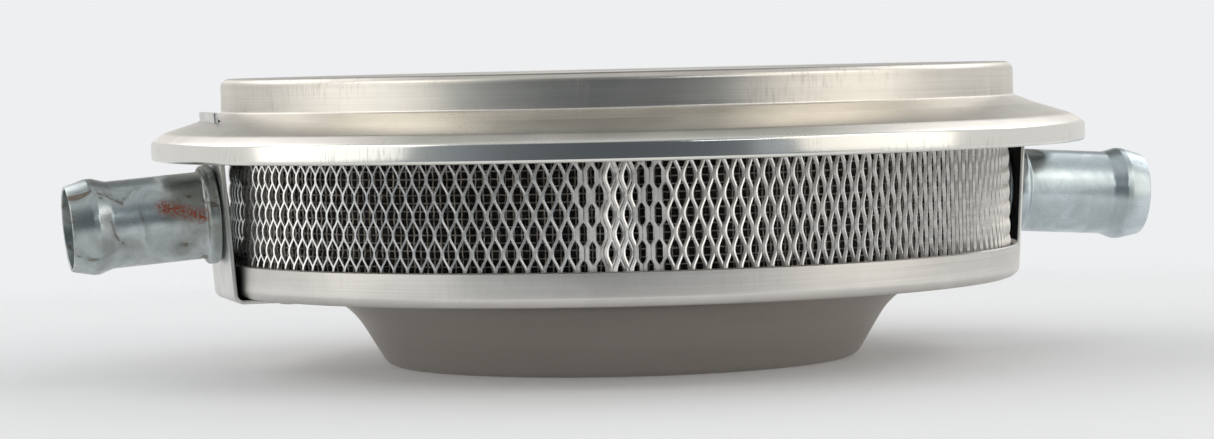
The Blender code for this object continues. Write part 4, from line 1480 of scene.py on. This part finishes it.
@dataclass
class Studio:
    """A pale table in soft light: a room that is bright behind and dim in front, and softboxes."""

    backdrop: str = "#eeeff1"
    paper: str = "#efeff0"
    camera_at: tuple[float, float, float] = (0.0, -1.1372, 0.0927)
    yaw: float = -0.196
    pitch: float = -2.519
    roll: float = -1.336
    lens: float = 109.64
    sensor: float = 36.0
    floor_half: float = 1.6
    fade_from: float = 0.36
    fade_to: float = 0.52

    def camera(self) -> None:
        """Stand the camera a little above the lid, level with the element."""
        yaw, pitch, roll = (math.radians(a) for a in (self.yaw, self.pitch, self.roll))
        level = math.cos(pitch)
        ahead = Vector((math.sin(yaw) * level, math.cos(yaw) * level, math.sin(pitch)))
        right = Vector((math.cos(yaw), -math.sin(yaw), 0))
        above = right.cross(ahead)
        x = math.cos(roll) * right + math.sin(roll) * above
        y = -math.sin(roll) * right + math.cos(roll) * above
        lens = bpy.data.cameras.new("camera")
        lens.lens = self.lens
        lens.sensor_width = self.sensor
        lens.sensor_fit = "HORIZONTAL"
        lens.clip_start = 0.01
        view = bpy.data.objects.new("camera", lens)
        place = Matrix((x, y, -ahead)).transposed().to_4x4()
        place.translation = Vector(self.camera_at)
        view.matrix_world = place
        bpy.context.scene.collection.objects.link(view)
        bpy.context.scene.camera = view

    def floor(self) -> None:
        """Lay a sheet of pale paper that fades out towards the backdrop."""
        work = bmesh.new()
        bmesh.ops.create_grid(work, x_segments=8, y_segments=8, size=self.floor_half)
        mesh = bpy.data.meshes.new("paper_floor")
        work.to_mesh(mesh)
        work.free()
        floor = place_mesh("paper_floor", mesh)
        weave = Weave("matt_paper")
        pulp = weave.add("TexNoise", weave.stretch(60.0), 1.0, 3.0, 0.55)
        colour = weave.add("Mix.RGBA", weave.add("Math.MULTIPLY", pulp, 0.35), self.paper, "#ececed")
        fibre = weave.add("TexNoise", weave.stretch(1.4), 1.0, 2.0, 0.55)
        normal = weave.add("Bump", Height=fibre, Distance=0.03 * MM)
        shader = weave.add(
            "BsdfPrincipled", colour, Roughness=0.75, Normal=normal,
            **{"Emission Color": "#ffffff", "Emission Strength": 0.1},
        )
        gone = weave.add(
            "MapRange", weave.add("VectorMath.LENGTH", weave.place), self.fade_from, self.fade_to,
            interpolation_type="SMOOTHSTEP",
        )
        mix = weave.add("MixShader", gone, shader, weave.add("BsdfTransparent"))
        weave.add("OutputMaterial", mix)
        floor.data.materials.append(weave.material)

    def room(self) -> None:
        """Light the room: pale behind and above, dim towards the front."""
        world = bpy.data.worlds.new("room")
        world.use_nodes = True
        tree = world.node_tree
        tree.nodes.clear()
        way = add_node(tree, "TexCoord")
        height = add_node(tree, "SeparateXYZ", way, out="Z")
        flat = add_node(tree, "VectorMath.MULTIPLY", way, (1, 1, 0))
        flat = add_node(tree, "VectorMath.NORMALIZE", flat)
        front = add_node(tree, "VectorMath.DOT_PRODUCT", flat, (0, -1, 0))
        ramp = add_node(tree, "ValToRGB", front)
        stops = (
            (0.0, "#dfdfde"), (0.30, "#cfd0d0"), (0.62, "#a3a9ac"), (0.766, "#868e93"),
            (0.866, "#6f767b"), (0.94, "#5e646a"), (1.0, "#555b60"),
        )
        elements = ramp.node.color_ramp.elements
        while len(elements) < len(stops):
            elements.new(0.5)
        for element, (position, shade) in zip(elements, stops, strict=True):
            element.position = position
            element.color = linear(shade)
        ease = {"interpolation_type": "SMOOTHSTEP"}
        up = add_node(tree, "MapRange", height, 0.55, 0.9, 0.0, 1.0, **ease)
        colour = add_node(tree, "Mix.RGBA", up, ramp, "#cbcdce")
        # a dim patch high in the rear, which the lid's shoulder mirrors
        rear = add_node(tree, "VectorMath.DOT_PRODUCT", way, (0.0, 0.71, 0.7))
        shade = add_node(tree, "MapRange", rear, 0.87, 0.97, 0.0, 0.85, **ease)
        colour = add_node(tree, "Mix.RGBA", shade, colour, "#4e4e4b")
        seen = add_node(tree, "LightPath")
        colour = add_node(tree, "Mix.RGBA", seen, colour, self.backdrop)
        add_node(tree, "OutputWorld", add_node(tree, "Background", colour, 1.0))
        bpy.context.scene.world = world

    def softbox(
        self, name: str, bearing: float, distance: float, height: float, size: Point, glow: float,
        tint: str,
    ) -> None:
        """Hang one softbox that faces the object.

        Args:
            name: The light's name.
            bearing: Degrees round from the camera's side, positive to the right.
            distance: Metres from the axis.
            height: Metres above the table.
            size: Its width and height in metres.
            glow: Its brightness as a share of white.
            tint: Its colour.
        """
        light = bpy.data.lights.new(name, "AREA")
        light.shape = "RECTANGLE"
        light.size, light.size_y = size
        light.energy = glow * math.pi * size[0] * size[1]
        light.color = linear(tint)[:3]
        lamp = bpy.data.objects.new(name, light)
        angle = math.radians(bearing)
        spot = Vector((distance * math.sin(angle), -distance * math.cos(angle), height))
        lamp.matrix_world = Matrix.Translation(spot) @ (-spot + Vector((0, 0, 0.06))).to_track_quat(
            "-Z", "Y"
        ).to_matrix().to_4x4()
        bpy.context.scene.collection.objects.link(lamp)

    def build(self) -> None:
        """Set up the camera, the table and the light."""
        bpy.context.scene.view_settings.view_transform = "Standard"
        self.camera()
        self.floor()
        self.room()
        self.softbox("left_softbox", -71.3, 1.5, 0.55, (1.336, 1.3), 0.76, "#fffdf8")
        self.softbox("right_softbox", 62.7, 1.5, 0.55, (1.29, 1.3), 0.8, "#fff6ea")
        self.softbox("right_panel", 35, 1.5, 0.35, (0.26, 0.9), 0.16, "#f2f6ff")
        self.softbox("lamp", 27, 1.2, 0.62, (0.4, 0.2), 2.4, "#f4fbff")
        self.softbox("left_high_softbox", -68, 1.1, 0.95, (0.75, 0.5), 1.0, "#fffdf8")
        self.softbox("left_rear_softbox", -130, 1.4, 1.1, (1.3, 1.0), 1.1, "#fbfcff")
        self.softbox("right_rear_softbox", 132, 1.4, 1.1, (1.3, 1.0), 1.1, "#fbfcff")
        self.softbox("right_high_softbox", 62, 1.1, 0.95, (0.7, 0.5), 1.0, "#fffaf2")


def main() -> None:
    """Build every piece in order, then the studio."""
    logging.basicConfig(level=logging.INFO, format="%(name)s %(message)s")
    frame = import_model()
    housing = Housing.from_frame()

    # Spun and satin-brushed aluminium: pale warm metal, reflections drawn out up and down, fine
    # rings, and a brighter polished band round the skirt
    lid_metal = SpunAluminium(
        "spun_satin_aluminium_lid", "#ebe6dd", "#ccc7be", 0.26, scuff_share=0.8,
        low_from_mm=69.6, low_to_mm=70.9,
    ).material()
    # Spun aluminium again, less worked: a greyer satin wall, and a duller neck below it, painted a
    # darker brown-grey as shade
    pan_metal = SpunAluminium(
        "spun_satin_aluminium_pan", "#e6e3de", "#c9c6c1", 0.28, anisotropy=0.4,
        low_from_mm=22.6, low_to_mm=24.2, low_colour="#aaa39c", low_roughness=0.32,
        scuff_share=0.3, nick_share=0.2,
    ).material()
    # Rolled aluminium strip: a plain soft grey, with painted shade, near black, on the side that faces
    # in
    strap_metal = MillAluminium(
        "rolled_aluminium_strap", "#e8e8e4", "#cfd0cc", 0.34, painted_inner_shade="#12110f",
    ).material()
    # Slit and stretched aluminium sheet: matt pale strands with bright sheared edges
    mesh_metal = MillAluminium(
        "expanded_aluminium_sheet", "#f6f4f0", "#dcdad6", 0.36, grain_mm=(0.8, 0.8, 0.8),
        nick_share=0.1, metallic=0.36, sheared="#fcfbf9",
    ).material()
    # Drawn aluminium wire, woven: thin crossing glints behind the mesh, over deeper layers painted dark
    # as shade, with a little dust
    wire = DrawnWire("drawn_aluminium_wire", "#ece6de", "#a39c94", 0.38).material()
    painted_shade_deep_wire = DrawnWire("dust_and_painted_shade_wire_cloth", "#3a3633", "#1d1b19", 0.5, woven=True).material()
    # Moulded nitrile rubber: matt black with a faint grey bloom
    rubber = MouldedRubber("moulded_nitrile_rubber").material()
    # Cold-headed aluminium: smooth small grey domes
    rivet_metal = MillAluminium("cold_headed_aluminium", "#dcdcd8", "#bdbdb9", 0.3).material()
    # Zinc plate, blue-passivated: cool bright steel clouded with age. The left tube is stained olive
    # and tan with a streak of orange rust, and the right one is cleaner and bluer
    screw_steel = ZincPlate("zinc_plated_fastener_steel", stain_level=0.75, cloud_mm=4.0).material()
    left_steel = ZincPlate(
        "zinc_plated_tube_left", bright="#cbd2d3", cloudy="#a3abab", olive="#83877d", stain_level=0.57,
        roughness=0.27, seed_mm=3.0, rust_half_width_mm=2.4,
        rust_from_mm=(-0.6, 12.9, 6.2), rust_to_mm=(-4.0, 12.3, 17.5),
    ).material()
    right_steel = ZincPlate(
        "zinc_plated_tube_right", bright="#d3dee2", cloudy="#b7c3c6", olive="#a7b1ae",
        stain_level=0.66, roughness=0.26, seed_mm=41.0,
    ).material()

    left = StrapBracket("left", 195.1, 4.2, 1.8, 2.8, housing)
    right = StrapBracket("right", 13.2, 3.6, 1.3, 0.6, housing)
    Lid(housing).build(lid_metal, (left, right))
    pan = BasePan(housing)
    pan.build(pan_metal)
    pan.build_liner(rubber)
    element = FilterElement(housing)
    element.build_outer_band(mesh_metal)
    element.build_inner_band(mesh_metal)
    element.build_cloth(wire)
    element.build_gaskets(rubber)
    for name in ("wire_cloth_layer_2", "wire_cloth_layer_3"):
        dress_node(frame["nodes"][name], painted_shade_deep_wire)
    for bracket, tube in ((left, left_steel), (right, right_steel)):
        bracket.build_strap(strap_metal)
        bracket.build_spigot(tube)
        bracket.build_rivets(rivet_metal)
    hold_down = HoldDown(housing)
    hold_down.build_screw(screw_steel)
    hold_down.build_clip(screw_steel)
    hold_down.build_washers(screw_steel, rubber)
    Studio().build()

    bpy.context.view_layer.update()


if __name__ == "__main__":
    main()
